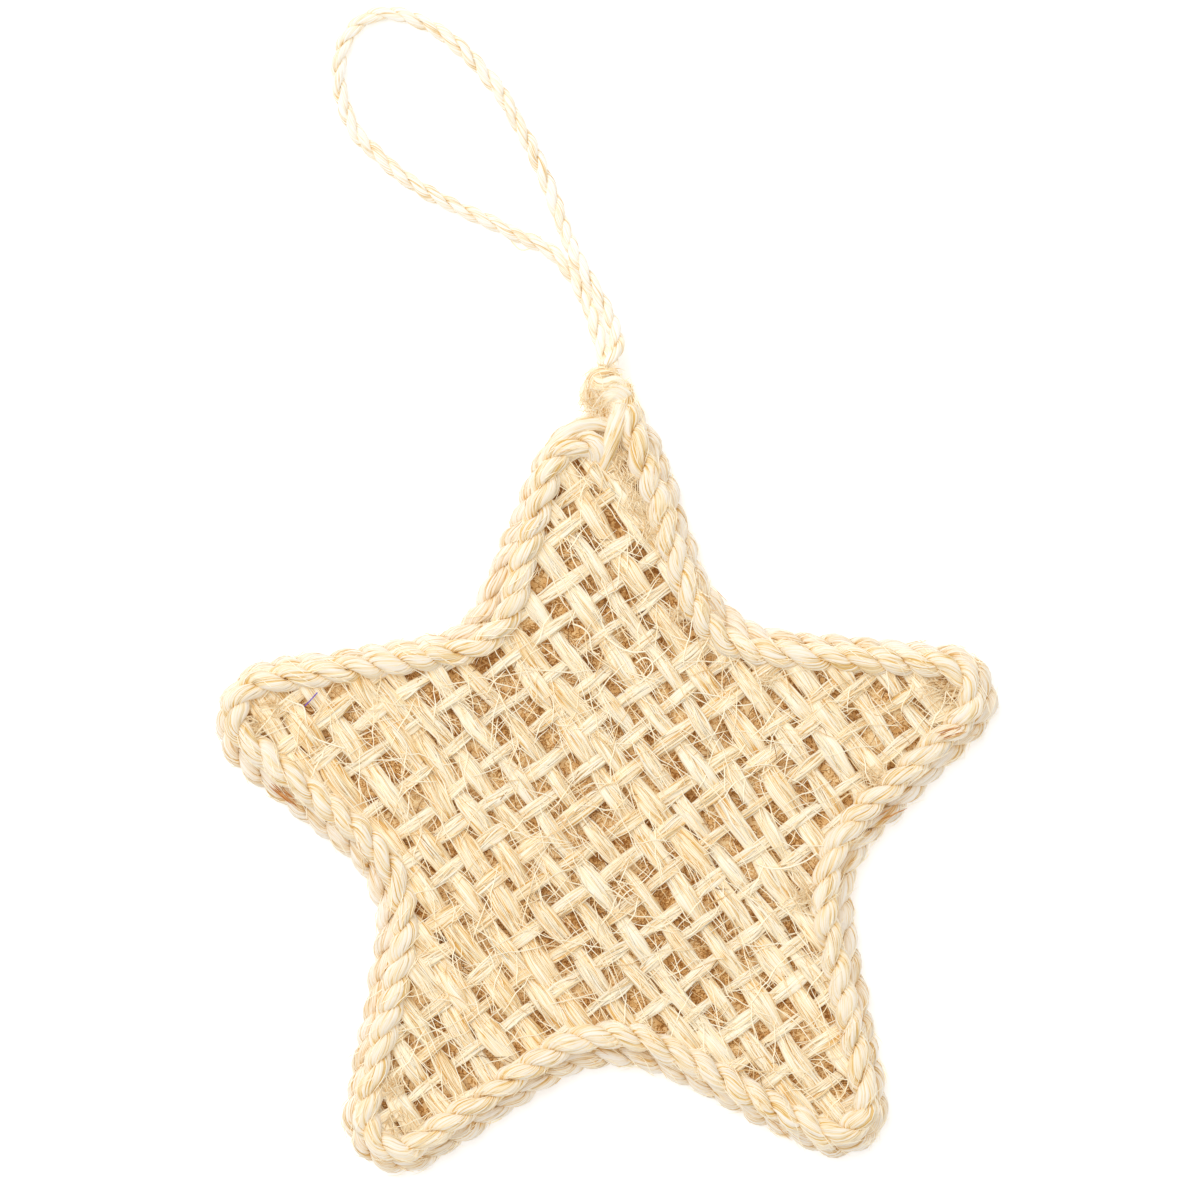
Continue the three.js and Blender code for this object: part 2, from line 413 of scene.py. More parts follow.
def smooth_curve(points: Points, per_span: int = 6) -> Points:
    """A smooth line through given points, with a centripetal Catmull-Rom spline.

    Args:
        points: The points it passes through.
        per_span: The number of steps between two of them.

    Returns:
        The points of the smooth line.
    """
    padded = [points[0] * 2 - points[1], *points, points[-1] * 2 - points[-2]]
    line = []
    for before, start, end, after in zip(padded, padded[1:], padded[2:], padded[3:]):
        knots = [0.0]
        for one, other in ((before, start), (start, end), (end, after)):
            knots.append(knots[-1] + math.sqrt((other - one).length))
        t0, t1, t2, t3 = knots
        for step in range(per_span):
            t = t1 + (t2 - t1) * step / per_span
            a1 = before.lerp(start, (t - t0) / (t1 - t0))
            a2 = start.lerp(end, (t - t1) / (t2 - t1))
            a3 = end.lerp(after, (t - t2) / (t3 - t2))
            b1 = a1.lerp(a2, (t - t0) / (t2 - t0))
            b2 = a2.lerp(a3, (t - t1) / (t3 - t1))
            line.append(b1.lerp(b2, (t - t1) / (t2 - t1)))
    return [*line, points[-1].copy()]


def unit_at(angle: float) -> Vector:
    """The flat direction at an angle in degrees."""
    return Vector((math.cos(math.radians(angle)), math.sin(math.radians(angle))))


def left_of(direction: Vector) -> Vector:
    """The flat direction a quarter turn to the left."""
    return Vector((-direction.y, direction.x))


def is_inside(point: Vector, outline: Points) -> bool:
    """Tells whether a flat point lies inside a closed outline.

    Args:
        point: The point.
        outline: The outline's points.

    Returns:
        True if it does.
    """
    inside = False
    for start, end in zip(outline, [*outline[1:], outline[0]]):
        if (start.y > point.y) != (end.y > point.y):
            reach = start.x + (point.y - start.y) * (end.x - start.x) / (end.y - start.y)
            inside ^= point.x < reach
    return inside


@dataclass(frozen=True)
class StarLine:
    """A closed star-shaped line of ten corners, each turned with its own radius.

    Corners are (x, y, radius) in hundredths of the star's width, anticlockwise from the top point.
    """

    corners: Route
    star_width: float = 100 * MM

    def turns(self) -> list[tuple[Vector, float, Vector, Vector, float]]:
        """Works out how the line turns.

        Returns:
            Each corner's place, radius, directions in and out, and turn: 1 at a point, -1 at a notch.
        """
        unit = self.star_width / 100
        places = [Vector((x, y)) * unit for x, y, _ in self.corners]
        found = []
        for index, (_, _, radius) in enumerate(self.corners):
            at = places[index]
            into = (at - places[index - 1]).normalized()
            out_of = (places[(index + 1) % len(places)] - at).normalized()
            found.append((at, radius * unit, into, out_of, math.copysign(1, into.cross(out_of))))
        return found

    def line(self, inset: float = 0.0, arc_steps: int = 10) -> Points:
        """The flat line's points.

        Args:
            inset: How far inside the star line it runs.
            arc_steps: The number of steps in each round corner.

        Returns:
            The points, anticlockwise from the top.
        """
        points = []
        for at, radius, into, out_of, turn in self.turns():
            shift = (left_of(into) + left_of(out_of)) * (inset / (1 + into.dot(out_of)))
            corner, radius = at + shift, radius - turn * inset
            angle = into.angle(out_of)
            start = corner - into * radius * math.tan(angle / 2)
            centre = start + left_of(into) * turn * radius
            arm = start - centre
            for step in range(arc_steps + 1):
                sweep = turn * angle * step / arc_steps
                turned = Vector((arm.x * math.cos(sweep) - arm.y * math.sin(sweep),
                                 arm.x * math.sin(sweep) + arm.y * math.cos(sweep)))
                points.append(centre + turned)
        return points


# The centre lines of the two ropes.
FRONT_LINE = StarLine((
    (-1.9, 61.0, 6.5), (-13.3, 18.8, 8.6), (-53.0, 12.8, 4.2), (-23.7, -10.8, 15.5), (-32.8, -50.4, 4.2),
    (-0.2, -27.9, 14.5), (35.0, -47.1, 4.2), (25.9, -8.0, 15.0), (52.2, 15.8, 4.2), (12.7, 18.3, 12.0),
))
BACK_LINE = StarLine((
    (0.4, 61.5, 7.6), (-17.1, 19.1, 9.8), (-57.1, 13.1, 6.3), (-26.3, -11.5, 14.0), (-34.3, -53.2, 5.7),
    (0.2, -30.6, 16.9), (35.9, -48.8, 4.8), (28.6, -9.3, 13.0), (54.1, 16.1, 4.9), (13.2, 20.0, 13.5),
))


class FibreShades:
    """The shader group that every fibre finish uses: streaks along the fibre, in colour and in height."""

    NAME = "fibre_shades"
    SIZES = ("Fineness", "Stretch", "Relief", "Tone")
    BROAD_SCALE = 0.3
    PATCH_SCALE = 0.22
    HAIRLINE_WIDTH = 0.07
    HAIRLINE_HEIGHT = 0.25

    def __init__(self) -> None:
        """Builds the group: it reads where a point is on its own fibre, and puts out masks."""
        tree = bpy.data.node_groups.new(self.NAME, "ShaderNodeTree")
        tree.interface.new_socket("Grain", in_out="INPUT", socket_type="NodeSocketVector")
        for size in self.SIZES:
            tree.interface.new_socket(size, in_out="INPUT", socket_type="NodeSocketFloat")
        for name in ("Shade", "Height"):
            tree.interface.new_socket(name, in_out="OUTPUT", socket_type="NodeSocketFloat")
        graph = Graph(tree)
        given = tree.nodes.new("NodeGroupInput")
        grain, fineness, stretch, relief, tone = (Field(graph, given.outputs[place]) for place in range(5))
        stretched = grain * graph.xyz(1.0, 1.0, stretch)
        fine = graph.noise(stretched, fineness, 2.0)
        hairlines = graph.off_middle(fine, self.HAIRLINE_WIDTH)
        broad = graph.noise(stretched, fineness * self.BROAD_SCALE, 1.0)
        patches = graph.noise(grain, self.PATCH_SCALE, 2.0)
        # Each effect, its middle value and how strongly it shifts the shade. The relief effect is painted
        # shade: the colour darkens where the relief is low, as in the creases between bunches of fibre.
        effects = ((fine, 0.5, 0.7), (broad, 0.5, 0.45), (patches, 0.5, 0.5), (hairlines, 0.7, 0.6),
                   (relief, 0.75, 0.7))
        shade = tone
        for effect, middle, weight in effects:
            shade = shade + (effect - middle) * weight
        result = tree.nodes.new("NodeGroupOutput")
        graph.feed(result.inputs["Shade"], shade)
        graph.feed(result.inputs["Height"], fine + broad + hairlines * self.HAIRLINE_HEIGHT)


@dataclass(frozen=True)
class FibreFinish:
    """A plant fibre: its colours from shade to light, and how its streaks lie."""

    name: str
    shadow: Colour
    straw: Colour
    cream: Colour
    fineness: float = 4.6
    stretch: float = 0.05
    roughness: float = 0.62
    gloss: float = 0.12
    bump: float = 0.5
    bump_depth: float = 0.08 * MM
    sheen: float = 0.04
    # Painted light: the fibre's own colour is also emitted at this strength, which lightens and warms its
    # shaded parts.
    glow: float = 0.0
    # Where the three colours lie between the darkest shade and the lightest.
    stops: tuple[float, float, float] = (0.0, 0.38, 0.78)

    def material(self) -> bpy.types.Material:
        """Builds the material once.

        Returns:
            The material, which reads the attributes grain, relief and tone.
        """
        if self.name in bpy.data.materials:
            return bpy.data.materials[self.name]
        made = bpy.data.materials.new(self.name)
        made.use_nodes = True
        made.node_tree.nodes.clear()
        graph = Graph(made.node_tree)
        group = graph.node("ShaderNodeGroup", node_tree=bpy.data.node_groups[FibreShades.NAME])
        for name, output in (("Grain", "Vector"), ("Relief", "Fac"), ("Tone", "Fac")):
            value = graph.out("ShaderNodeAttribute", output=output, attribute_name=name.lower())
            graph.feed(group.inputs[name], value)
        group.inputs["Fineness"].default_value = self.fineness
        group.inputs["Stretch"].default_value = self.stretch
        ramp = graph.node("ShaderNodeValToRGB", {"Fac": Field(graph, group.outputs["Shade"])})
        elements = ramp.color_ramp.elements
        elements.new(1.0)
        for element, position, colour in zip(elements, self.stops, (self.shadow, self.straw, self.cream)):
            element.position = position
            element.color = (*colour, 1.0)
        height = Field(graph, group.outputs["Height"])
        bump = {"Height": height, "Strength": self.bump, "Distance": self.bump_depth}
        colour = Field(graph, ramp.outputs["Color"])
        # The emission is painted light: the fibre glows in its own colour, so that its shade reads lighter
        # and warmer.
        shader = graph.out("ShaderNodeBsdfPrincipled", {
            "Base Color": colour, "Emission Color": colour, "Emission Strength": self.glow,
            "Roughness": self.roughness, "Specular IOR Level": self.gloss, "Sheen Weight": self.sheen,
            "Normal": graph.out("ShaderNodeBump", bump),
        })
        graph.node("ShaderNodeOutputMaterial", {"Surface": shader})
        return made


# Each finish's glow is painted light that lightens and warms the fibre's shade.
ROPE_FINISH = FibreFinish("rope_fibre", (0.75, 0.46, 0.13), (0.91, 0.74, 0.46), (0.93, 0.845, 0.72),
                          fineness=3.4, glow=0.08)
BACK_ROPE_FINISH = FibreFinish("back_rope_fibre", (0.70, 0.42, 0.14), (0.88, 0.73, 0.51), (0.93, 0.865, 0.77),
                               fineness=3.4, glow=0.07)
WEAVE_FINISH = FibreFinish("woven_fibre", (0.72, 0.40, 0.10), (0.96, 0.80, 0.51), (0.985, 0.905, 0.74),
                           fineness=6.2, stretch=0.012, glow=0.08)
CORD_FINISH = FibreFinish("cord_fibre", (0.82, 0.57, 0.26), (0.96, 0.85, 0.65), (0.98, 0.94, 0.86),
                          fineness=3.4, glow=0.08)
KNOT_FINISH = FibreFinish("knot_fibre", (0.72, 0.41, 0.13), (0.94, 0.77, 0.48), (0.98, 0.91, 0.77), glow=0.06)
TOW_FINISH = FibreFinish("matted_tow", (0.34, 0.14, 0.03), (0.76, 0.46, 0.18), (0.95, 0.74, 0.43),
                         fineness=1.9, sheen=0.0, glow=0.07)
# Painted shadow: the dark colour of the tow curls that stand for the thin shadows between the tow's fibres.
SHADED_FINISH = FibreFinish("shaded_tow", (0.16, 0.07, 0.02), (0.36, 0.18, 0.06), (0.66, 0.42, 0.20),
                            bump=0.0)
FELT_FINISH = FibreFinish("felted_tow", (0.64, 0.41, 0.18), (0.86, 0.67, 0.40), (0.96, 0.84, 0.61),
                          bump=0.0, glow=0.07)
STRAY_FINISH = FibreFinish("stray_fibre", (0.66, 0.38, 0.14), (0.93, 0.76, 0.46), (0.985, 0.91, 0.72),
                           bump=0.0, glow=0.11)
STAINED_FINISH = FibreFinish("stained_fibre", (0.42, 0.11, 0.02), (0.60, 0.23, 0.05), (0.82, 0.50, 0.22),
                             bump=0.0)
DYED_FINISH = FibreFinish("dyed_fibre", (0.09, 0.04, 0.34), (0.15, 0.07, 0.48), (0.22, 0.12, 0.60), bump=0.0)


@dataclass(frozen=True)
class FloorFinish:
    """A plain pale studio floor."""

    name: str = "studio_floor"
    colour: Colour = (0.93, 0.93, 0.93)
    roughness: float = 0.9
    gloss: float = 0.1
    glow: float = 0.27
    mottle_scale: float = 40.0
    mottle_shade: float = 0.985

    def material(self) -> bpy.types.Material:
        """Builds the material.

        Returns:
            A pale matt coat with the faintest mottle.
        """
        made = bpy.data.materials.new(self.name)
        made.use_nodes = True
        made.node_tree.nodes.clear()
        graph = Graph(made.node_tree)
        place = graph.out("ShaderNodeTexCoord", output="Object")
        mottle = graph.noise(place, self.mottle_scale, 2.0)
        mottle = graph.remap(mottle, *NOISE_CORE, self.mottle_shade, 1.0)
        shader = graph.out("ShaderNodeBsdfPrincipled", {
            "Base Color": graph.xyz(*self.colour) * mottle, "Roughness": self.roughness,
            "Specular IOR Level": self.gloss,
            "Emission Color": (1.0, 1.0, 1.0, 1.0), "Emission Strength": self.glow,
        })
        graph.node("ShaderNodeOutputMaterial", {"Surface": shader})
        return made


def put_in_scene(name: str, data: bpy.types.ID) -> bpy.types.Object:
    """Makes an object of a mesh, a camera or a light and links it to the scene.

    Args:
        name: The object's name.
        data: What it shows.

    Returns:
        The new object.
    """
    made = bpy.data.objects.new(name, data)
    bpy.context.scene.collection.objects.link(made)
    return made


@dataclass(frozen=True)
class Studio:
    """The camera over the star, the soft light and the floor."""

    aim: tuple[float, float] = (-0.83 * MM, 24.6 * MM)
    frame_width: float = 152.4 * MM
    subject_height: float = 4.5 * MM
    camera_height: float = 0.6
    nearest: float = 0.01
    sensor: float = 36.0
    sky_strength: float = 0.7
    key_power: float = 9.0
    key_size: float = 1.1
    key_place: tuple[float, float, float] = (-0.45, 0.55, 1.15)
    floor_size: float = 6.0

    def camera(self) -> None:
        """Makes the camera that looks straight down, as the photograph's does."""
        lens = bpy.data.cameras.new("camera")
        lens.sensor_width = self.sensor
        lens.lens = self.sensor * (self.camera_height - self.subject_height) / self.frame_width
        lens.clip_start = self.nearest
        seen_from = put_in_scene("camera", lens)
        seen_from.location = (*self.aim, self.camera_height)
        bpy.context.scene.camera = seen_from

    def light(self) -> None:
        """Makes the even white surroundings and one large soft light."""
        world = bpy.data.worlds.new("studio")
        world.use_nodes = True
        background = world.node_tree.nodes["Background"]
        background.inputs["Color"].default_value = (1.0, 1.0, 1.0, 1.0)
        background.inputs["Strength"].default_value = self.sky_strength
        bpy.context.scene.world = world
        lamp = bpy.data.lights.new("key", "AREA")
        lamp.energy = self.key_power
        lamp.size = self.key_size
        key = put_in_scene("key", lamp)
        key.location = self.key_place
        key.rotation_euler = (-Vector(self.key_place)).to_track_quat("-Z", "Y").to_euler()
        bpy.context.scene.view_settings.view_transform = "Standard"

    def floor(self) -> None:
        """Makes the plain floor under the star."""
        half = self.floor_size / 2
        corners = [(-half, -half, 0), (half, -half, 0), (half, half, 0), (-half, half, 0)]
        mesh = bpy.data.meshes.new("floor")
        mesh.from_pydata(corners, [], [(0, 1, 2, 3)])
        mesh.materials.append(FloorFinish().material())
        floor = put_in_scene("floor", mesh)

    def build(self) -> None:
        """Makes the camera, the light and the floor."""
        self.camera()
        self.light()
        self.floor()


def swept_grain(recipe: Recipe, radius: Field) -> Field:
    """Where a point of a swept tube lies on its own fibre, in millimetres.

    Args:
        recipe: The tree, whose geometry has the attributes around, along and lane.
        radius: The tube's radius.

    Returns:
        The place: two numbers round the tube and one along it.
    """
    gap_x, gap_y = 37.7, 11.3
    lane = recipe.stored("lane")
    shift = recipe.xyz(lane * gap_x, lane * gap_y, recipe.stored("along") / MM)
    return recipe.stored_vector("around") * (radius / MM) + shift


def swept(recipe: Recipe, line: Field, lane: Field, round_points: Any, radius: Field,
          flatness: Any = 1.0) -> Field:
    """Sweeps a round or flattened section along a line and keeps where each point lies on it.

    Args:
        recipe: The tree.
        line: The curve.
        lane: A number that differs from fibre to fibre.
        round_points: The number of points round the section.
        radius: The section's radius.
        flatness: The section's height as a share of its breadth.

    Returns:
        The closed tube, with the attributes around, along and lane.
    """
    line = recipe.store(line, "along", recipe.on_spline("Length"))
    line = recipe.store(line, "lane", lane)
    section = {"Resolution": round_points, "Radius": 1.0}
    circle = recipe.out("GeometryNodeCurvePrimitiveCircle", section, mode="RADIUS")
    place = recipe.place()
    circle = recipe.store(circle, "around", place)
    flat = {"Geometry": circle, "Position": place * recipe.xyz(1.0, flatness, 1.0)}
    profile = recipe.out("GeometryNodeSetPosition", flat)
    inputs = {"Curve": line, "Profile Curve": profile, "Scale": radius, "Fill Caps": True}
    return recipe.out("GeometryNodeCurveToMesh", inputs)


def roughened(recipe: Recipe, tube: Field, grain: Field, ridge_scale: float, lump: Any = 0.0) -> Field:
    """Raises round bunches of fibre with thin creases between them, and slow lumps, on a tube.

    Args:
        recipe: The tree, with the input Ridge height.
        tube: The tube.
        grain: Where each point lies on its fibre, in millimetres.
        ridge_scale: How many bunches lie side by side in about a millimetre.
        lump: The height of the lumps.

    Returns:
        The tube, with the attributes grain and relief.
    """
    ridge_stretch = 0.035
    crease_width = 0.08
    crease_middle = 0.8
    lump_scale = 0.3
    tube = recipe.store(tube, "grain", grain)
    grain = recipe.stored_vector("grain")
    ridges = recipe.noise(grain * recipe.xyz(1.0, 1.0, ridge_stretch), ridge_scale, 1.0)
    bunch = recipe.math("SQRT", recipe.off_middle(ridges, crease_width))
    lumps = recipe.noise(grain, lump_scale, 1.0)
    rise = (bunch - crease_middle) * recipe.given("Ridge height") + (lumps - 0.5) * lump
    # The relief is 0 in the creases, where the finish darkens the colour as painted shade.
    tube = recipe.store(tube, "relief", bunch)
    return recipe.moved(tube, recipe.out("GeometryNodeInputNormal") * rise)


def cross_frame(recipe: Recipe) -> tuple[Field, Field]:
    """The directions across a curve.

    Args:
        recipe: The tree.

    Returns:
        The direction to the left of the curve, and the one upwards across it.
    """
    tangent = recipe.out("GeometryNodeInputTangent")
    side = recipe.vector("NORMALIZE", recipe.vector("CROSS_PRODUCT", UP, tangent))
    return side, recipe.vector("CROSS_PRODUCT", tangent, side)


def two_ply_recipe() -> Recipe:
    """A tree that lays two plies round each other along a line, in a Z twist.

    A ply is soft, so it is squashed towards the rope's middle, more on the side that meets the other.

    Returns:
        The tree. Its input is a mesh of points and edges.
    """
    slip_length, slip_angle = 8 * MM, 2.4
    wobble_length, wobble_range = 5 * MM, (0.85, 1.12)
    swell_length, swell_range = 3 * MM, (0.82, 1.12)
    wobble_gap, swell_gap = 9.1, 5.3
    # Where on a ply's inner side the painted groove shade starts and ends, as shares of its radius.
    deep, shallow = -0.5, 0.2
    ridge_scale = 2.1
    recipe = Recipe("two_ply", {
        "Turns": float, "Steps": int, "Ply offset": float, "Ply radius": float, "Fibre turns": float,
        "Inner squash": float, "Outer squash": float, "Stain": float,
        "Round points": int, "Ridge height": float, "Lump height": float, "Seed": float,
    })
    given = recipe.given
    centre = recipe.resampled(recipe.curves(), given("Steps"))
    plies, ply = recipe.copies(centre, 2)
    plies = recipe.store(plies, "lane", ply + given("Seed"))
    lane = recipe.stored("lane")
    factor = recipe.on_spline("Factor")
    place = recipe.place()
    slip = (recipe.noise(place * (1 / slip_length)) - 0.5) * slip_angle
    angle = factor * given("Turns") * math.tau + ply * math.pi + slip
    wobble = recipe.noise(place * (1 / wobble_length) + recipe.xyz(lane * wobble_gap, 0.0, 0.0))
    side, up = cross_frame(recipe)
    outward = side * recipe.math("COSINE", angle) + up * recipe.math("SINE", angle)
    plies = recipe.store(plies, "outward", outward)
    outward = recipe.stored_vector("outward")
    offset = given("Ply offset") * recipe.remap(wobble, *NOISE_RANGE, *wobble_range)
    plies = recipe.moved(plies, outward * offset)
    plies = recipe.headed(recipe.store(plies, "core", place))
    plies = recipe.tilted(recipe.upright(plies), factor * given("Fibre turns") * math.tau)
    swell = recipe.noise(place * (1 / swell_length) + recipe.xyz(0.0, lane * swell_gap, 0.0))
    radius = given("Ply radius") * recipe.remap(swell, *NOISE_RANGE, *swell_range)
    tubes = swept(recipe, plies, lane, given("Round points"), radius)
    arm = recipe.vector("DOT_PRODUCT", place - recipe.stored_vector("core"), outward)
    is_outer = recipe.math("GREATER_THAN", arm, 0.0)
    inner = given("Inner squash")
    squash = inner + (given("Outer squash") - inner) * is_outer - 1.0
    # Painted shade: each ply's colour darkens on its inner side, in the groove where it meets the other ply.
    groove_shade = recipe.remap(arm / given("Ply radius"), deep, shallow, -1.0, 0.0) * given("Stain")
    tubes = recipe.store(tubes, "tone", recipe.stored("tone") + groove_shade)
    tubes = recipe.moved(tubes, outward * (arm * squash))
    grain = swept_grain(recipe, given("Ply radius"))
    recipe.lay_out(roughened(recipe, tubes, grain, ridge_scale, given("Lump height")))
    return recipe


def strand_recipe() -> Recipe:
    """A tree that makes flat strands: a bundle of fibre each, with loose slivers that wander off it.

    Returns:
        The tree. Its input is a mesh of points and edges with the attributes width and tone.
    """
    tone_gap, sliver_gap = 91.0, 1.7
    lean_scale, lean_gap, lean_angle = 0.2, 7.1, 1.3
    drift_scale, drift_gap = 0.16, 3.1
    spread, crown, lift_middle, lift_share = 0.8, 3.0, 0.45, 0.35
    swell_range = (0.5, 1.4)
    sliver_flatness = 0.6
    sliver_shade, shade_seed, shade_steps = 0.08, 7, 100.0
    ridge_scale = 2.2
    recipe = Recipe("flat_strands", {
        "Step": float, "Body points": int, "Flatness": float, "Grain radius": float, "Ridge height": float,
        "Seed": float, "Slivers": int, "Sliver radius": float, "Sliver points": int, "Wander": float,
    })
    given = recipe.given
    lines = recipe.stepped_curves()
    width = recipe.stored("width")
    length = recipe.on_spline("Length") / MM
    strand_shade = recipe.stored("tone") * tone_gap
    strand_lane = strand_shade + given("Seed")
    lean = recipe.noise(recipe.xyz(length * lean_scale, strand_lane * lean_gap, 0.0)) - 0.5
    body = recipe.tilted(recipe.upright(lines), lean * lean_angle)
    body = swept(recipe, body, strand_lane, given("Body points"), width * 0.5, given("Flatness"))
    body = recipe.store(body, "grain", swept_grain(recipe, given("Grain radius")))
    lines, sliver = recipe.copies(lines, given("Slivers"))
    lines = recipe.store(lines, "lane", sliver * sliver_gap + strand_shade + given("Seed"))
    lane = recipe.stored("lane")
    share = (sliver + 0.5) / given("Slivers") - 0.5
    drift = recipe.noise(recipe.xyz(length * drift_scale, lane * drift_gap, 0.0), output="Color")
    side, up = cross_frame(recipe)
    across = share * width * spread + (recipe.part(drift, "X") - 0.5) * given("Wander")
    crowned = width * 0.5 * given("Flatness") * (share * share * -crown + 1.0)
    rise = crowned + (recipe.part(drift, "Y") - lift_middle) * given("Wander") * lift_share
    lines = recipe.moved(lines, side * across + up * rise)
    lines = recipe.tilted(recipe.upright(lines), share)
    radius = given("Sliver radius") * recipe.remap(recipe.part(drift, "Z"), *NOISE_CORE, *swell_range)
    slivers = swept(recipe, lines, lane, given("Sliver points"), radius, sliver_flatness)
    slivers = recipe.store(slivers, "grain", swept_grain(recipe, given("Sliver radius")))
    joined = recipe.node("GeometryNodeJoinGeometry")
    recipe.tree.links.new(slivers.socket, joined.inputs[0])
    recipe.tree.links.new(body.socket, joined.inputs[0])
    strands = Field(recipe, joined.outputs[0])
    own_number = recipe.math("ROUND", lane * shade_steps)
    shade = recipe.random(-sliver_shade, sliver_shade, shade_seed, own_number)
    strands = recipe.store(strands, "tone", recipe.stored("tone") + shade)
    recipe.lay_out(roughened(recipe, strands, recipe.stored_vector("grain"), ridge_scale))
    return recipe


def stray_recipe() -> Recipe:
    """A tree that strews loose curly fibres over a surface.

    Returns:
        The tree. Its input is a mesh of faces with the attribute heading, the way that fibres run there.
    """
    cluster_length, cluster_range, cluster_swing = 5 * MM, (0.35, 0.65), 0.7
    sway_length, sway_gap_y, sway_gap_z = 3.5 * MM, 2.3, 1.7
    palest, tone_fall = 0.95, 0.7
    lanes = 50.0
    blunt_share = 0.03
    end_relief, relief_rise = 0.6, 0.2
    section_points = 3
    recipe = Recipe("stray_fibres", {
        "Density": float, "Shortest": float, "Longest": float, "Thickness": float, "Curl": float,
        "Lift": float, "Spread": float, "Paleness": float, "Gather": float, "Joints": int, "Seed": int,
    })
    given = recipe.given
    gathered = recipe.noise(recipe.place() * (1 / cluster_length))
    clusters = recipe.remap(gathered, *cluster_range, -cluster_swing, cluster_swing) * given("Gather")
    strewn = recipe.node("GeometryNodeDistributePointsOnFaces", {
        "Mesh": given("Geometry"), "Density": given("Density") * (clusters + 1.0), "Seed": given("Seed"),
    }, distribute_method="RANDOM")
    points, normal = (Field(recipe, strewn.outputs[name]) for name in ("Points", "Normal"))
    seed = given("Seed")
    points = recipe.store(points, "lane", recipe.random(0.0, lanes, seed + 1))
    points = recipe.store(points, "off_surface", normal)
    fall = recipe.math("POWER", recipe.random(0.0, 1.0, seed + 2), given("Paleness"))
    points = recipe.store(points, "tone", fall * -tone_fall + palest)
    axes = {"Primary Axis": normal, "Secondary Axis": recipe.stored_vector("heading")}
    rotation = recipe.out("FunctionNodeAxesToRotation", axes, primary_axis="Z", secondary_axis="X")
    turn = {"Axis": UP, "Angle": recipe.random(-1.0, 1.0, seed + 3) * given("Spread")}
    spin = recipe.out("FunctionNodeAxisAngleToRotation", turn)
    turned = {"Rotation": rotation, "Rotate By": spin}
    rotation = recipe.out("FunctionNodeRotateRotation", turned, rotation_space="LOCAL")
    ends = {"Start": (-0.5, 0.0, 0.0), "End": (0.5, 0.0, 0.0)}
    fibre = recipe.resampled(recipe.out("GeometryNodeCurvePrimitiveLine", ends), given("Joints"))
    size = recipe.random(given("Shortest"), given("Longest"), seed + 4)
    placed = recipe.out("GeometryNodeInstanceOnPoints", {
        "Points": points, "Instance": fibre, "Rotation": rotation, "Scale": recipe.xyz(size, 1.0, 1.0),
    })
    loose = recipe.out("GeometryNodeRealizeInstances", {"Geometry": placed})
    lane = recipe.stored("lane")
    apart = recipe.xyz(lane, lane * sway_gap_y, lane * sway_gap_z)
    sway = recipe.noise(recipe.place() * (1 / sway_length) + apart, output="Color") - 0.5
    lift = recipe.stored_vector("off_surface") * given("Lift")
    loose = recipe.moved(loose, sway * given("Curl") + lift)
    # A fibre thins towards its ends, which keep a little of their thickness.
    along = recipe.on_spline("Factor") * (1 - 2 * blunt_share) + blunt_share
    taper = recipe.math("SQRT", recipe.math("SINE", along * math.pi))
    tubes = swept(recipe, loose, lane, section_points, taper * given("Thickness") * 0.5)
    tubes = recipe.store(tubes, "grain", swept_grain(recipe, given("Thickness")))
    tubes = recipe.store(tubes, "relief", taper * relief_rise + end_relief)
    recipe.lay_out(tubes, is_smooth=False)
    return recipe


def bundle_recipe() -> Recipe:
    """A tree that makes round bundles of fibre, such as one ply by itself.

    Returns:
        The tree. Its input is a mesh of points and edges with the attributes width and tone.
    """
    tone_gap = 71.0
    flatness = 0.85
    ridge_scale = 2.0
    recipe = Recipe("bundles", {
        "Step": float, "Fibre turn": float, "Round points": int,
        "Ridge height": float, "Lump height": float, "Seed": float,
    })
    given = recipe.given
    lines = recipe.stepped_curves()
    lines = recipe.tilted(lines, recipe.on_spline("Length") / MM * given("Fibre turn"))
    lane = recipe.stored("tone") * tone_gap + given("Seed")
    radius = recipe.stored("width") * 0.5
    tubes = swept(recipe, lines, lane, given("Round points"), radius, flatness)
    grain = swept_grain(recipe, radius)
    recipe.lay_out(roughened(recipe, tubes, grain, ridge_scale, given("Lump height")))
    return recipe


def finished(piece: bpy.types.Object, slot: Slot, *nodes: str) -> None:
    """Hangs a finished piece on the body it rides on, hides the CAD parts that it stands for and logs its
    triangles.

    Args:
        piece: The finished piece.
        slot: Not used.
        *nodes: The CAD nodes that it replaces.
    """
    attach(piece, BODY)
    if nodes:
        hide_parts(*nodes)
    triangles = sum(len(face.vertices) - 2 for face in piece.data.polygons)
    LOG.info("%s: %d triangles", piece.name, triangles)


@dataclass(frozen=True)
class Lay:
    """How a two-ply rope or cord is laid. Its plies' offset and radius are shares of its diameter."""

    diameter: float
    turn_length: float
    step: float
    ply_offset: float
    ply_radius: float
    inner_squash: float
    outer_squash: float
    # How strongly painted shade darkens each ply's inner side, in the groove between the plies.
    groove_shade: float
    round_points: int
    ridge_height: float
    lump_height: float
    fibre_turns: float = -0.8
    tone: float = 0.5

    def along(self, twist: Recipe, name: str, line: Points, seed: float,
              finish: FibreFinish) -> bpy.types.Object:
        """Lays the rope along a line.

        Args:
            twist: The two-ply recipe.
            name: The piece's name.
            line: Its centre line.
            seed: What its wobble starts from.
            finish: Its finish.

        Returns:
            The piece.
        """
        length = length_of(line)
        turns = length / self.turn_length
        return twist.make(name, thread_mesh(name, [Thread.even(line, self.diameter, self.tone)]), {
            "Turns": turns, "Steps": round(length / self.step), "Fibre turns": self.fibre_turns * turns,
            "Ply offset": self.diameter * self.ply_offset, "Ply radius": self.diameter * self.ply_radius,
            "Inner squash": self.inner_squash, "Outer squash": self.outer_squash, "Stain": self.groove_shade,
            "Round points": self.round_points, "Ridge height": self.ridge_height,
            "Lump height": self.lump_height, "Seed": seed, "Material": finish.material(),
        })


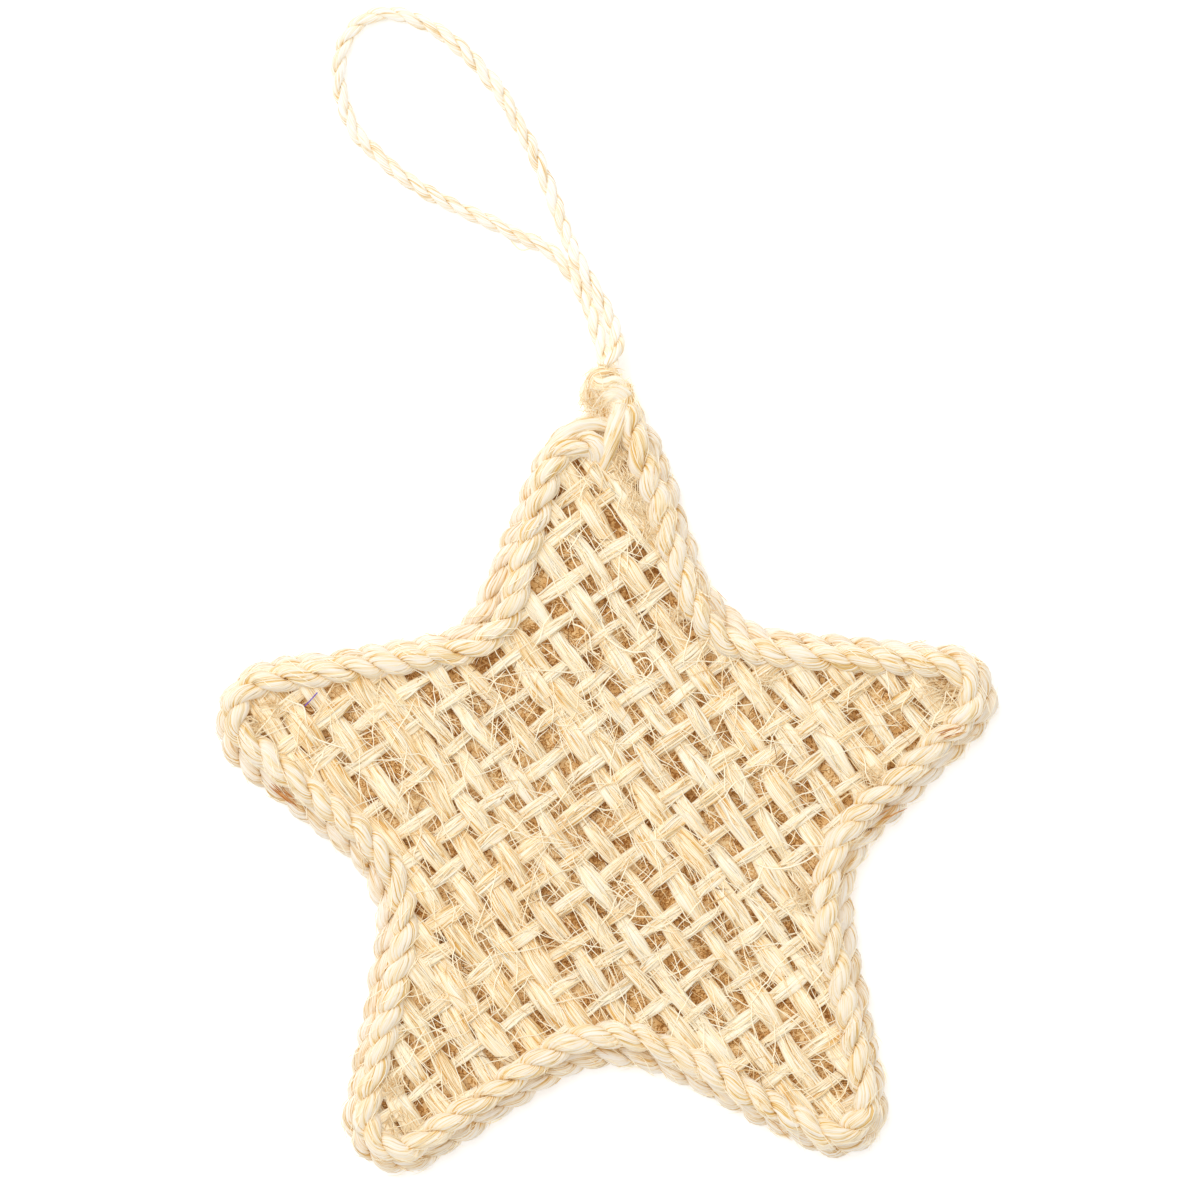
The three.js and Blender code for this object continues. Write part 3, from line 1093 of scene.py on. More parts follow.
CORD_LAY = Lay(
    diameter=1.8 * MM, turn_length=5.9 * MM, step=0.3 * MM, ply_offset=0.25, ply_radius=0.37,
    inner_squash=0.72, outer_squash=0.86, groove_shade=0.14, round_points=22,
    ridge_height=0.14 * MM, lump_height=0.2 * MM,
)
ROPE_LAY = Lay(
    diameter=3.6 * MM, turn_length=7.4 * MM, step=0.4625 * MM, ply_offset=0.235, ply_radius=0.31,
    inner_squash=0.78, outer_squash=0.88, groove_shade=0.22, round_points=46,
    ridge_height=0.24 * MM, lump_height=0.5 * MM,
)
BACK_ROPE_LAY = replace(ROPE_LAY, round_points=34)


@dataclass
class HangingCord:
    """The thin two-ply cord, laid out in a loop, and the knot it ends in."""

    twist: Recipe
    bundles: Recipe
    lay: Lay = CORD_LAY
    seed: float = 1.0
    knot_seed: float = 5.0
    # In millimetres, with y from the knot's top and the rest as in the frame.
    route: Route = (
        (0.3, 0.3, 4.7), (1.0, 1.8, 4.0), (1.3, 3.7, 3.3), (0.7, 5.8, 2.7), (-0.2, 7.8, 2.6),
        (-1.2, 9.7, 2.65), (-2.2, 11.5, 2.75), (-3.4, 13.5, 2.6), (-4.4, 15.5, 1.9), (-5.4, 17.9, 1.25),
        (-6.4, 20.9, 0.95), (-7.7, 24.2, 0.92), (-9.3, 27.9, 0.92), (-11.1, 31.1, 0.92),
        (-13.3, 35.1, 0.92), (-15.5, 37.8, 0.92), (-17.8, 40.4, 0.92), (-20.6, 42.7, 0.92),
        (-23.7, 44.5, 0.92), (-27.0, 45.5, 0.92), (-30.1, 45.2, 0.92), (-32.6, 43.3, 0.92),
        (-34.0, 40.3, 0.92), (-34.2, 36.8, 0.92), (-33.4, 33.4, 0.92), (-31.7, 30.0, 0.92),
        (-29.1, 27.4, 0.92), (-26.0, 24.7, 0.92), (-22.2, 22.4, 0.92), (-18.2, 20.4, 0.92),
        (-14.3, 18.7, 0.92), (-10.4, 16.8, 0.92), (-7.3, 15.3, 0.92), (-5.2, 13.2, 0.92),
        (-3.7, 11.1, 0.92), (-2.5, 8.7, 1.05), (-1.6, 6.2, 1.35), (-0.9, 3.7, 1.8),
        (-0.4, 1.8, 2.2), (-0.3, 0.3, 2.55),
    )
    # Each wrap of the knot: its width, its tone and its points from the knot's middle, in millimetres.
    knot_wraps: tuple[tuple[float, float, Route], ...] = (
        (3.1, 0.6, ((-1.2, -1.0, -0.9), (-0.7, -0.9, 0.3), (0.6, -0.3, 0.8), (1.6, -0.8, 0.2),
                    (1.5, -1.5, -1.2))),
        (1.9, 0.42, ((0.8, 1.6, -0.9), (-0.4, 1.8, 0.5), (-1.7, 1.5, 0.7), (-2.1, 0.2, 0.6),
                     (-2.1, -1.3, 0.2), (-1.2, -2.0, -0.9))),
        (1.4, 0.62, ((-1.7, 1.6, 0.2), (-0.9, 0.7, 1.3), (0.7, 1.0, 1.2), (1.6, 0.4, 0.3),
                     (1.7, -0.4, -0.9))),
        (3.0, 0.16, ((0.0, 1.9, -0.6), (0.0, 0.4, -0.5), (-0.1, -1.4, -0.4), (-0.1, -3.2, -0.4),
                     (-0.2, -5.0, -0.5), (-0.6, -7.4, -0.8), (-1.0, -10.0, -1.2))),
        (2.4, 0.36, ((1.6, 0.4, 0.0), (1.9, -1.4, 0.3), (1.8, -3.2, 0.2), (1.8, -5.2, -0.3),
                     (1.4, -8.0, -1.0), (1.0, -10.5, -1.4))),
    )

    def line(self) -> Points:
        """The cord's centre line."""
        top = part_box("knot")[1][1]
        return smooth_curve([Vector((x * MM, top + y * MM, z * MM)) for x, y, z in self.route], per_span=8)

    def knot(self) -> bpy.types.Object:
        """Makes the knot.

        Returns:
            The finished piece.
        """
        low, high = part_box("knot")
        middle = Vector([(a + b) / 2 for a, b in zip(low, high)])
        wraps = []
        for width, tone, points in self.knot_wraps:
            wrap = smooth_curve([middle + point for point in in_metres(points)])
            wraps.append(Thread.even(wrap, width * MM, tone))
        knot = self.bundles.make("knot_wraps", thread_mesh("knot_wraps", wraps), {
            "Step": 0.25 * MM, "Fibre turn": 0.12, "Round points": 48, "Ridge height": 0.3 * MM,
            "Lump height": 1.0 * MM, "Seed": self.knot_seed, "Material": KNOT_FINISH.material(),
        })
        finished(knot, Slot.CORD, "knot")
        return knot

    def build(self) -> bpy.types.Object:
        """Makes the knot and the cord.

        Returns:
            The knot.
        """
        knot = self.knot()
        line = self.line()
        cord = self.lay.along(self.twist, "hanging_cord_laid", line, self.seed, CORD_FINISH)
        finished(cord, Slot.CORD, "hanging_cord")
        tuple(line[0])
        length_of(line)
        return knot


@dataclass
class EdgeRope:
    """A two-ply rope that edges one of the panels, with both its ends at the top point."""

    twist: Recipe
    node: str
    star_line: StarLine
    lay: Lay
    finish: FibreFinish
    seed: float
    # The left-hand end and the run from the right-hand side up to the knot, in millimetres.
    left_end: Route
    right_end: Route
    # How many of the star line's first points, round the top, the rope's open ends take the place of.
    left_out: int

    def line(self) -> Points:
        """The rope's centre line.

        Returns:
            Its points, from the left-hand end round the star to the knot.
        """
        low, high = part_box(self.node)
        z = (low[2] + high[2]) / 2
        body = [Vector((point.x, point.y, z)) for point in self.star_line.line()][self.left_out:]
        per_span = 4
        # The left-hand end runs on through three points of the star, so that it meets the star smoothly.
        start = smooth_curve([*in_metres(self.left_end), *body[:3]], per_span)[:-per_span - 1]
        end = smooth_curve([body[-1], *in_metres(self.right_end)], per_span)[1:]
        return [*start, *body[1:], *end]

    def build(self) -> bpy.types.Object:
        """Makes the rope.

        Returns:
            The finished piece.
        """
        rope = self.lay.along(self.twist, f"{self.node}_laid", self.line(), self.seed, self.finish)
        finished(rope, Slot.ROPE, self.node)
        return rope


@dataclass
class TopStrands:
    """Two single plies at the top point: one dives under the weave, one ends the rope's left-hand side."""

    bundles: Recipe
    width: float = 2.3 * MM
    # Each ply's tone and its points, in millimetres.
    routes: tuple[tuple[float, Route], ...] = (
        (0.52, ((1.7, 49.6, 4.2), (1.3, 47.8, 5.4), (0.95, 46.0, 6.2), (0.45, 44.2, 6.1), (-0.1, 42.5, 5.5),
                (-0.6, 40.9, 4.5))),
        (0.55, ((-7.0, 43.4, 5.0), (-5.5, 45.0, 5.7), (-3.7, 46.3, 5.8), (-1.8, 46.9, 5.4), (-0.2, 46.8, 4.9),
                (0.8, 46.4, 4.4))),
    )

    def build(self) -> None:
        """Makes the plies."""
        threads = []
        for tone, route in self.routes:
            threads.append(Thread.even(smooth_curve(in_metres(route)), self.width, tone))
        strands = self.bundles.make("top_strands", thread_mesh("top_strands", threads), {
            "Step": 0.3 * MM, "Fibre turn": 0.15, "Round points": 36, "Ridge height": 0.24 * MM,
            "Lump height": 0.3 * MM, "Seed": 12.0, "Material": ROPE_FINISH.material(),
        })
        finished(strands, Slot.ROPE)


@dataclass
class StrandSet:
    """One direction of a weave: parallel flat strands, each a little off its place."""

    angle: float
    spacing: float
    narrowest: float
    widest: float


@dataclass
class WovenPanel:
    """An open plain weave of flat strands, trimmed to a star."""

    strands: Recipe
    node: str
    star_line: StarLine
    middle_z: float
    lift: float
    warp: StrandSet
    weft: StrandSet
    seed: int
    trim: float = 0.3 * MM
    turn_in: float = 1.5 * MM
    edge_drop: float = 0.6 * MM
    edge_run: float = 2.5 * MM
    step: float = 0.6 * MM
    reach: float = 75 * MM
    shortest: float = 6.5 * MM
    angle_spread: float = 1.3
    place_spread: float = 0.09
    tones: tuple[float, float] = (0.34, 0.62)
    sway: float = 0.8 * MM
    sway_length: float = 14 * MM
    swell: float = 0.35
    swell_length: float = 9 * MM
    swell_layer: float = 5.0
    waves: float = 100.0
    pinch: float = 0.1
    body_points: int = 24
    flatness: float = 0.42
    slivers: int = 6

    def parallel_lines(self, layer: StrandSet, rng: random.Random) -> Lines:
        """The flat lines of one direction.

        Args:
            layer: The strands' sizes.
            rng: The random draws.

        Returns:
            A point and a direction for each line.
        """
        count = math.ceil(self.reach / layer.spacing)
        lines = []
        for place in range(-count, count + 1):
            along = unit_at(layer.angle + rng.gauss(0.0, self.angle_spread))
            shift = (place + rng.gauss(0.0, self.place_spread)) * layer.spacing
            lines.append((left_of(unit_at(layer.angle)) * shift, along))
        return lines

    def height_at(self, crossings: Sequence[tuple[float, float]], along: float) -> float:
        """The height over the middle of the weave, eased between a strand's crossings.

        Args:
            crossings: The place and the height of each crossing.
            along: The place on the strand.

        Returns:
            The height there.
        """
        if along <= crossings[0][0]:
            return crossings[0][1]
        for (start, low), (end, high) in zip(crossings, crossings[1:]):
            if along <= end:
                share = (along - start) / (end - start)
                return low + (high - low) * (1 - math.cos(math.pi * share)) / 2
        return crossings[-1][1]

    def thread(self, stretch: Stretch, tone: float) -> Thread:
        """Makes a thread of one stretch, with its ends drawn down under the rope.

        Args:
            stretch: Each point and the width there.
            tone: The thread's shade.

        Returns:
            The thread.
        """
        last = len(stretch) - 1
        for place, (at, _) in enumerate(stretch):
            to_end = min(place, last - place) * self.step
            at.z -= self.edge_drop * max(0.0, 1 - to_end / self.edge_run)
        return Thread([at for at, _ in stretch], [width for _, width in stretch], tone)

    def threads(self, layer: StrandSet, own: Lines, other: Lines, sign: int,
                rng: random.Random) -> list[Thread]:
        """The strands of one direction, cut to the star.

        Args:
            layer: The strands' sizes.
            own: Their lines.
            other: The lines that they cross.
            sign: 1 or -1, so that crossing strands pass on opposite sides.
            rng: The random draws.

        Returns:
            One thread for each stretch inside the star.
        """
        outline = self.star_line.line(inset=self.trim)
        steps = math.ceil(2 * self.reach / self.step)
        cut = []
        for index, (point, along) in enumerate(own):
            crossings = []
            for place, (other_point, other_along) in enumerate(other):
                distance = (other_point - point).cross(other_along) / along.cross(other_along)
                side = sign if (index + place) % 2 else -sign
                crossings.append((distance, side * self.lift))
            crossings.sort()
            base_width = rng.uniform(layer.narrowest, layer.widest)
            wave = rng.uniform(0.0, self.waves)
            tone = rng.uniform(*self.tones)
            stretch: Stretch = []
            for step in range(steps + 1):
                distance = -self.reach + step * self.step
                sway = noise.noise(Vector((distance / self.sway_length, wave, 0.0))) * self.sway
                flat = point + along * distance + left_of(along) * sway
                if is_inside(flat, outline):
                    swell_at = Vector((distance / self.swell_length, wave, self.swell_layer))
                    swell = noise.noise(swell_at) * self.swell
                    rise = self.height_at(crossings, distance)
                    width = base_width * (1 + swell) * (1 + self.pinch * rise / self.lift)
                    stretch.append((Vector((flat.x, flat.y, self.middle_z + rise)), width))
                elif stretch:
                    cut.append((stretch, tone))
                    stretch = []
        kept = [(stretch, tone) for stretch, tone in cut if len(stretch) * self.step >= self.shortest]
        return [self.thread(stretch, tone) for stretch, tone in kept]

    def build(self) -> None:
        """Makes the warps and the wefts, which take the place of the CAD panel."""
        rng = random.Random(self.seed)
        warps = self.parallel_lines(self.warp, rng)
        wefts = self.parallel_lines(self.weft, rng)
        sets = (("warps", self.warp, warps, wefts, 1), ("wefts", self.weft, wefts, warps, -1))
        for label, layer, own, other, sign in sets:
            threads = self.threads(layer, own, other, sign, rng)
            name = f"{self.node}_{label}"
            piece = self.strands.make(name, thread_mesh(name, threads), {
                "Step": self.step, "Body points": self.body_points, "Flatness": self.flatness,
                "Grain radius": (layer.narrowest + layer.widest) / 4, "Ridge height": 0.2 * MM,
                "Slivers": self.slivers, "Sliver radius": 0.15 * MM, "Sliver points": 4,
                "Wander": 1.9 * MM, "Seed": float(self.seed), "Material": WEAVE_FINISH.material(),
            })
            finished(piece, Slot.WEAVE, self.node)
        outline = self.star_line.line(inset=-self.turn_in)
        across, along = ([at[axis] for at in outline] for axis in (0, 1))
        area = sum(one.cross(other) for one, other in zip(outline, [*outline[1:], outline[0]])) / 2
        max(across) - min(across)
        max(along) - min(along)


@dataclass
class Padding:
    """The thin tow padding between the panels, with a lumpy face."""

    inset: float = -0.9 * MM
    flat_rim: float = 1.5 * MM
    grid: float = 1.2 * MM
    reach: float = 65 * MM
    # Shares of the grid: a row's height, how far a point may stray, and the gap to the rim.
    row_height: float = 0.87
    jitter: float = 0.2
    rim_gap: float = 0.7
    merge_distance: float = 1e-7
    lump: float = 0.6 * MM
    lump_width: float = 1.6 * MM
    # How far the face rises over the solid's, and which share of the lumps the back has.
    face_rise: float = 0.15 * MM
    back_share: float = 0.3
    # How far the flat edge lies below the solid's face and above its back.
    edge_below: float = 0.1 * MM
    edge_above: float = 1.2 * MM
    rim_z: float = 3.75 * MM
    rim_height: float = 0.7 * MM
    # The rim lies in the shade between the ropes; its pale tone is painted light, so that the gap doesn't
    # read dark.
    painted_light_rim_tone: float = 0.95
    cloud_width: float = 2.5 * MM
    cloud_layer: float = 7.0 * MM
    seed: int = 4

    def flat_mesh(self, spacing: float, inset: float) -> tuple[Points, list[tuple[int, ...]], int]:
        """A flat star of well-shaped triangles.

        Args:
            spacing: The distance between its points.
            inset: How far inside the front rope's centre line it ends.

        Returns:
            Its points, its triangles and the number of its first points that are its outline.
        """
        outline = FRONT_LINE.line(inset=inset, arc_steps=6)
        dense = []
        for start, end in zip(outline, [*outline[1:], outline[0]]):
            parts = max(1, round((end - start).length / spacing))
            dense += [start.lerp(end, part / parts) for part in range(parts)]
        inner = FRONT_LINE.line(inset=inset + spacing * self.rim_gap, arc_steps=6)
        rng = random.Random(self.seed)
        inside = []
        rows = math.ceil(self.reach / spacing)
        for row in range(-rows, rows + 1):
            for column in range(-rows, rows + 1):
                at = Vector((column + 0.5 * (row % 2), row * self.row_height)) * spacing
                shift = (rng.uniform(-self.jitter, self.jitter), rng.uniform(-self.jitter, self.jitter))
                at += Vector(shift) * spacing
                if is_inside(at, inner):
                    inside.append(at)
        count = len(dense)
        rim = [(place, (place + 1) % count) for place in range(count)]
        # The 1 keeps only the triangles inside the outline.
        points, _, faces, *_ = geometry.delaunay_2d_cdt(dense + inside, rim, [], 1, self.merge_distance)
        return points, [tuple(face) for face in faces], count

    def build(self) -> None:
        """Makes the padding: a lumpy face on top and below, a flat edge round them and a thin rim."""
        low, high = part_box("padding")
        points, faces, rim_count = self.flat_mesh(self.grid, self.inset)
        count = len(points)
        near_rim = FRONT_LINE.line(inset=self.flat_rim)
        top, bottom, tones = [], [], []
        for place, at in enumerate(points):
            lump = noise.fractal(Vector((at.x, at.y, 0.0)) / self.lump_width, 1.0, 2.0, 4) * self.lump
            cloud = noise.noise(Vector((at.x, at.y, self.cloud_layer)) / self.cloud_width)
            # Painted shade: the tone also follows the lumps, lighter on their tops and darker in the hollows.
            tone = 0.5 + 0.5 * cloud + lump / (2 * MM)
            if place < rim_count:
                # Painted light on the shaded rim.
                tone = self.painted_light_rim_tone
                heights = (self.rim_z + self.rim_height / 2, self.rim_z - self.rim_height / 2)
            elif not is_inside(at, near_rim):
                heights = (high[2] - self.edge_below, low[2] + self.edge_above)
            else:
                heights = (high[2] + lump + self.face_rise, low[2] + lump * self.back_share)
            tones.append(tone)
            top.append((at.x, at.y, heights[0]))
            bottom.append((at.x, at.y, heights[1]))
        sides = []
        for one in range(rim_count):
            other = (one + 1) % rim_count
            sides += [(one, count + one, count + other), (one, count + other, other)]
        under = [tuple(count + place for place in reversed(face)) for face in faces]
        mesh = bpy.data.meshes.new("tow_padding")
        mesh.from_pydata(top + bottom, [], [*faces, *under, *sides])
        mesh.attributes.new("tone", "FLOAT", "POINT").data.foreach_set("value", tones * 2)
        mesh.attributes.new("relief", "FLOAT", "POINT").data.foreach_set("value", [0.5] * (2 * count))
        grain = mesh.attributes.new("grain", "FLOAT_VECTOR", "POINT")
        grain.data.foreach_set("vector", [value / MM for vertex in mesh.vertices for value in vertex.co])
        mesh.materials.append(TOW_FINISH.material())
        mesh.shade_smooth()
        piece = put_in_scene("tow_padding", mesh)
        finished(piece, Slot.TOW, "padding")


@dataclass
class LaidHairs:
    """The few long hairs that lie where they are seen: on the weave, the arms and by the cord."""

    bundles: Recipe
    pale_width: float = 0.22 * MM
    dyed_width: float = 0.15 * MM
    tone: float = 0.8
    tone_step: float = 0.01
    # In millimetres, as in the frame.
    pale_routes: tuple[Route, ...] = (
        ((-4.3, 21.6, 6.1), (-3.1, 21.1, 6.3), (-2.2, 20.2, 6.4), (-2.0, 18.9, 6.3), (-1.6, 17.8, 6.1),
         (-0.9, 17.8, 5.9)),
        ((-0.2, 20.0, 6.2), (1.6, 18.6, 6.2), (3.4, 18.0, 6.3), (5.0, 18.1, 6.1)),
        ((3.7, 16.6, 6.1), (4.8, 17.3, 6.2), (5.7, 16.8, 6.3), (5.8, 15.7, 6.2), (4.3, 14.1, 6.0)),
        ((-40.7, 12.1, 6.6), (-39.6, 11.6, 6.4), (-38.4, 11.1, 6.3), (-38.0, 9.1, 6.2), (-37.1, 7.3, 6.2),
         (-35.1, 6.4, 6.2), (-33.1, 5.8, 6.0)),
        ((-12.5, 71.3, 0.9), (-12.0, 70.3, 0.4), (-11.0, 69.4, 0.2), (-10.0, 69.5, 0.2), (-9.2, 70.3, 0.4),
         (-8.4, 71.1, 0.9)),
        ((-12.9, 87.4, 0.9), (-13.4, 89.2, 1.1), (-13.4, 90.9, 1.2)),
        ((18.6, -8.7, 6.0), (20.8, -9.4, 6.3), (23.2, -9.2, 6.4), (25.2, -8.4, 6.9), (26.6, -7.4, 7.2)),
    )
    dyed_route: Route = ((-38.2, 11.2, 6.2), (-37.4, 12.0, 6.4), (-36.6, 12.9, 6.4))

    def build(self) -> None:
        """Makes the pale hairs and the short dyed one."""
        hairs = (("laid_hairs", self.pale_routes, self.pale_width, STRAY_FINISH),
                 ("dyed_hair", (self.dyed_route,), self.dyed_width, DYED_FINISH))
        for name, routes, width, finish in hairs:
            threads = []
            for place, route in enumerate(routes):
                line = smooth_curve(in_metres(route))
                threads.append(Thread.even(line, width, self.tone + self.tone_step * place))
            piece = self.bundles.make(name, thread_mesh(name, threads), {
                "Step": 0.3 * MM, "Fibre turn": 0.1, "Round points": 6, "Ridge height": 0.0,
                "Lump height": 0.0, "Seed": 2.0, "Material": finish.material(),
            })
            finished(piece, Slot.WEAVE)


@dataclass(frozen=True)
class Scatter:
    """How loose fibres are strewn: how many on a square metre, how long, how thick and how curly."""

    density: float
    shortest: float
    longest: float
    thickness: float
    curl: float
    seed: int
    finish: FibreFinish = STRAY_FINISH
    lift: float = 0.0
    spread: float = 1.5
    paleness: float = 3.0
    gather: float = 1.0
    joints: int = 7

    def sizes(self) -> dict[str, Any]:
        """Names the sizes as the stray recipe does.

        Returns:
            The value of each of its inputs.
        """
        return {
            "Density": self.density, "Shortest": self.shortest, "Longest": self.longest,
            "Thickness": self.thickness, "Curl": self.curl, "Lift": self.lift, "Spread": self.spread,
            "Paleness": self.paleness, "Gather": self.gather, "Joints": self.joints, "Seed": self.seed,
            "Material": self.finish.material(),
        }


@dataclass(frozen=True)
class Patch:
    """A small round place where loose fibres gather, in millimetres, with their heading in degrees."""

    x: float
    y: float
    z: float
    radius: float
    heading: float


FELT_PATCHES = (
    Patch(-45.5, 8.5, 6.1, 1.7, 30), Patch(-42.5, 10.6, 6.1, 1.3, 10), Patch(40.3, 13.6, 6.1, 1.4, 20),
    Patch(43.2, 13.2, 6.2, 1.8, 20), Patch(34.0, 2.4, 6.1, 1.6, 40), Patch(-27.0, -37.0, 6.1, 1.7, 75),
    Patch(-26.3, -41.6, 6.1, 1.6, 60), Patch(31.2, -41.5, 6.1, 1.6, -60), Patch(1.7, 42.6, 6.2, 1.3, -60),
    Patch(25.0, -12.8, 6.1, 1.5, 80), Patch(2.7, 40.0, 6.2, 1.5, -65), Patch(3.9, 37.0, 6.2, 1.7, -65),
    Patch(5.4, 33.8, 6.2, 1.5, -65), Patch(8.9, 22.4, 6.2, 1.2, -60), Patch(20.2, 14.4, 6.1, 1.2, 10),
)
STAINED_PATCHES = (
    Patch(43.6, 7.8, 7.4, 0.7, 17), Patch(36.0, -2.4, 4.5, 0.7, 30), Patch(-41.0, -0.2, 4.1, 0.7, -40),
)
KNOT_PATCHES = (Patch(-2.0, 50.2, 5.8, 1.4, -60), Patch(-0.9, 48.6, 5.8, 1.5, -80))


@dataclass
class LooseFibres:
    """Loose fibres strewn over the weave, the tow, the ropes and the knot."""

    strays: Recipe
    padding: Padding
    inset: float = 2.2 * MM
    grid: float = 5 * MM
    patch_corners: int = 10
    warp_angle: float = -53
    weft_angle: float = 36

    def emitter(self, name: str, points: Sequence[Vector], faces: Sequence[tuple[int, ...]],
                headings: list[float]) -> bpy.types.Mesh:
        """A mesh that fibres are strewn on, with the attribute heading.

        Args:
            name: The mesh's name.
            points: Its points.
            faces: Its faces.
            headings: The way that fibres run at each point, three numbers each.

        Returns:
            The mesh.
        """
        mesh = bpy.data.meshes.new(name)
        mesh.from_pydata(points, [], faces)
        mesh.attributes.new("heading", "FLOAT_VECTOR", "POINT").data.foreach_set("vector", headings)
        return mesh

    def sheet(self, name: str, z: float, angle: float) -> bpy.types.Mesh:
        """A flat star that fibres are strewn on.

        Args:
            name: The mesh's name.
            z: Its height.
            angle: The heading that its fibres mostly take, in degrees.

        Returns:
            The mesh, with the attribute heading.
        """
        flat, faces, _ = self.padding.flat_mesh(self.grid, self.inset)
        points = [Vector((at.x, at.y, z)) for at in flat]
        return self.emitter(name, points, faces, [*unit_at(angle), 0.0] * len(points))

    def patch_sheet(self, name: str, patches: Sequence[Patch]) -> bpy.types.Mesh:
        """Small flat discs that fibres are strewn on.

        Args:
            name: The mesh's name.
            patches: The places.

        Returns:
            The mesh, with the attribute heading.
        """
        points, faces, headings = [], [], []
        for patch in patches:
            faces.append(tuple(range(len(points), len(points) + self.patch_corners)))
            for corner in range(self.patch_corners):
                rim = unit_at(corner * 360 / self.patch_corners) * patch.radius
                points.append(Vector((patch.x + rim.x, patch.y + rim.y, patch.z)) * MM)
                headings += [*unit_at(patch.heading), 0.0]
        return self.emitter(name, points, faces, headings)

    def strew(self, name: str, slot: Slot, emitter: bpy.types.Mesh, scatter: Scatter) -> None:
        """Strews fibres on a mesh that has the attribute heading, and finishes the piece."""
        finished(self.strays.make(name, emitter, scatter.sizes()), slot)

    def build(self) -> None:
        """Strews the fibres of the panel, of the tow and of the small patches."""
        low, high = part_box("front_weave")
        layers = (
            ("weave_stray_fibres", Slot.WEAVE, high[2], self.warp_angle, Scatter(
                1.1e5, 3 * MM, 9 * MM, 0.18 * MM, 1.8 * MM, 11, lift=0.15 * MM, joints=9)),
            ("warp_stray_fibres", Slot.WEAVE, high[2], self.warp_angle, Scatter(
                1.9e5, 3 * MM, 9 * MM, 0.15 * MM, 1.2 * MM, 31, spread=0.35, joints=8)),
            ("weft_stray_fibres", Slot.WEAVE, high[2], self.weft_angle, Scatter(
                9e4, 2 * MM, 7 * MM, 0.15 * MM, 1.2 * MM, 41, lift=-0.1 * MM, spread=0.4)),
            ("tow_stray_fibres", Slot.TOW, low[2] + 0.3 * MM, self.warp_angle, Scatter(
                2.6e5, 2 * MM, 5 * MM, 0.14 * MM, 3.0 * MM, 23, spread=3.1, paleness=0.8)),
            # Dark curls that are painted shadow: they stand for the thin shadows between the tow's fibres.
            ("tow_curls", Slot.TOW, low[2] + 0.6 * MM, self.warp_angle, Scatter(
                2.6e5, 2 * MM, 5 * MM, 0.13 * MM, 3.4 * MM, 29, SHADED_FINISH, spread=3.1, paleness=0.8)),
        )
        for name, slot, z, angle, scatter in layers:
            self.strew(name, slot, self.sheet(name, z, angle), scatter)
        places = (
            ("felt_fibres", Slot.TOW, FELT_PATCHES, Scatter(
                6e6, 1 * MM, 3 * MM, 0.15 * MM, 2.6 * MM, 91, FELT_FINISH, spread=1.2, paleness=1.0,
                gather=0.0, joints=6)),
            ("stained_fibres", Slot.ROPE, STAINED_PATCHES, Scatter(
                5e6, 2 * MM, 4 * MM, 0.2 * MM, 0.4 * MM, 71, STAINED_FINISH, spread=0.1, paleness=0.7,
                gather=0.0, joints=6)),
            ("knot_tow", Slot.TOW, KNOT_PATCHES, Scatter(
                6e6, 1 * MM, 2.5 * MM, 0.11 * MM, 2.2 * MM, 95, KNOT_FINISH, spread=1.5, paleness=0.6,
                gather=0.0, joints=6)),
        )
        for name, slot, patches, scatter in places:
            self.strew(name, slot, self.patch_sheet(name, patches), scatter)

    def fuzz(self, source: bpy.types.Object, slot: Slot, density: float, curl: float, seed: int) -> None:
        """Strews short fibres on a finished piece, along its own fibres.

        Args:
            source: The piece, whose mesh has the attribute heading.
            slot: The record's material slot.
            density: The number of fibres on a square metre.
            curl: How far the fibres bend off their way.
            seed: What the draws start from.
        """
        scatter = Scatter(density, 1.5 * MM, 4.5 * MM, 0.12 * MM, curl, seed, lift=0.1 * MM, spread=0.35,
                          paleness=5.0)
        self.strew(f"{source.name}_fuzz", slot, source.data.copy(), scatter)


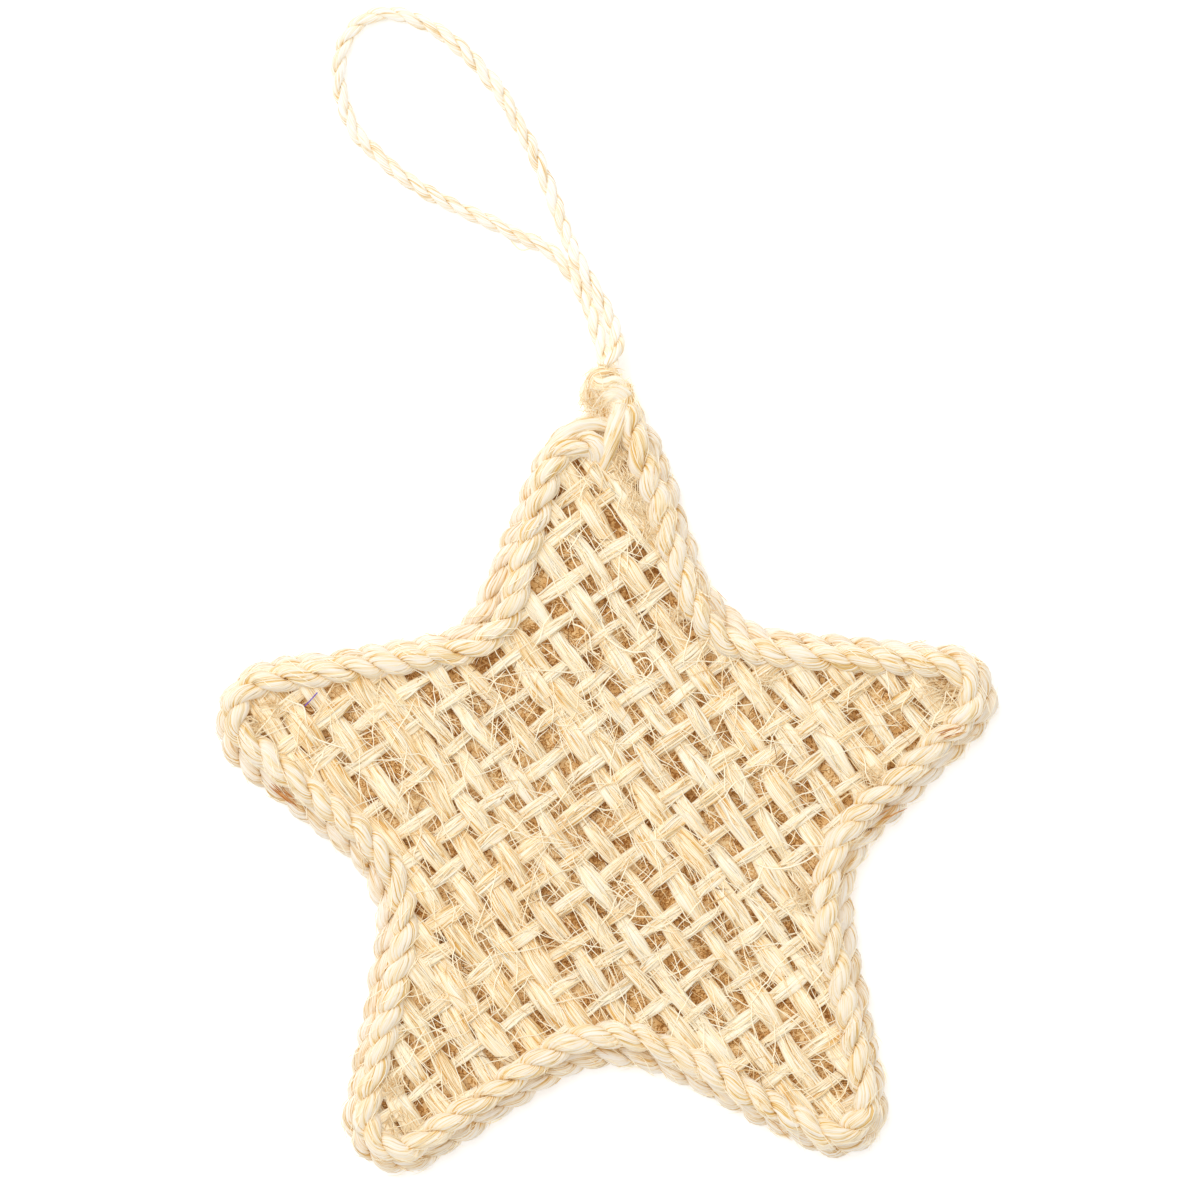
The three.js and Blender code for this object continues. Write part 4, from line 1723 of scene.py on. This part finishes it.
def main() -> None:
    """Builds the studio and every piece of the ornament, in order."""
    logging.basicConfig(level=logging.INFO, format="%(message)s")
    Studio().build()
    FibreShades()
    twist = two_ply_recipe()
    strands = strand_recipe()
    bundles = bundle_recipe()
    knot = HangingCord(twist, bundles).build()
    back_rope = EdgeRope(
        twist, "back_rope", BACK_LINE, BACK_ROPE_LAY, BACK_ROPE_FINISH, 3.0,
        left_end=((1.2, 46.0, 2.9), (0.5, 46.5, 2.2)),
        right_end=((6.5, 41.6, 1.8), (5.7, 43.6, 1.9), (4.5, 45.6, 2.1), (3.3, 47.6, 2.5), (2.2, 49.4, 3.0)),
        left_out=6,
    ).build()
    front_rope = EdgeRope(
        twist, "front_rope", FRONT_LINE, ROPE_LAY, ROPE_FINISH, 7.0,
        left_end=((-0.8, 42.2, 4.3), (-1.1, 43.5, 5.1), (-2.2, 44.5, 5.6), (-3.9, 44.3, 5.7)),
        right_end=((4.98, 40.9, 5.7), (4.2, 42.8, 5.6), (3.5, 44.7, 5.2), (2.9, 46.5, 4.7),
                   (2.3, 48.2, 4.2), (1.7, 49.6, 3.8)),
        left_out=8,
    ).build()
    TopStrands(bundles).build()
    WovenPanel(
        strands, "front_weave", FRONT_LINE, middle_z=5.25 * MM, lift=0.36 * MM, seed=2,
        warp=StrandSet(-53, 3.7 * MM, 1.8 * MM, 2.8 * MM), weft=StrandSet(36, 4.2 * MM, 1.2 * MM, 2.0 * MM),
    ).build()
    WovenPanel(
        strands, "back_weave", BACK_LINE, middle_z=0.6 * MM, lift=0.2 * MM, seed=9,
        warp=StrandSet(-50, 4.0 * MM, 2.2 * MM, 3.0 * MM), weft=StrandSet(39, 4.4 * MM, 1.7 * MM, 2.4 * MM),
        edge_drop=0.0, step=1.0 * MM, body_points=10, slivers=2,
    ).build()
    padding = Padding()
    padding.build()
    LaidHairs(bundles).build()
    loose = LooseFibres(stray_recipe(), padding)
    loose.build()
    loose.fuzz(front_rope, Slot.ROPE, 2.0e5, 0.9 * MM, 51)
    loose.fuzz(back_rope, Slot.ROPE, 2.0e5, 0.9 * MM, 61)
    loose.fuzz(knot, Slot.CORD, 1.1e6, 2.2 * MM, 81)


if __name__ == "__main__":
    main()
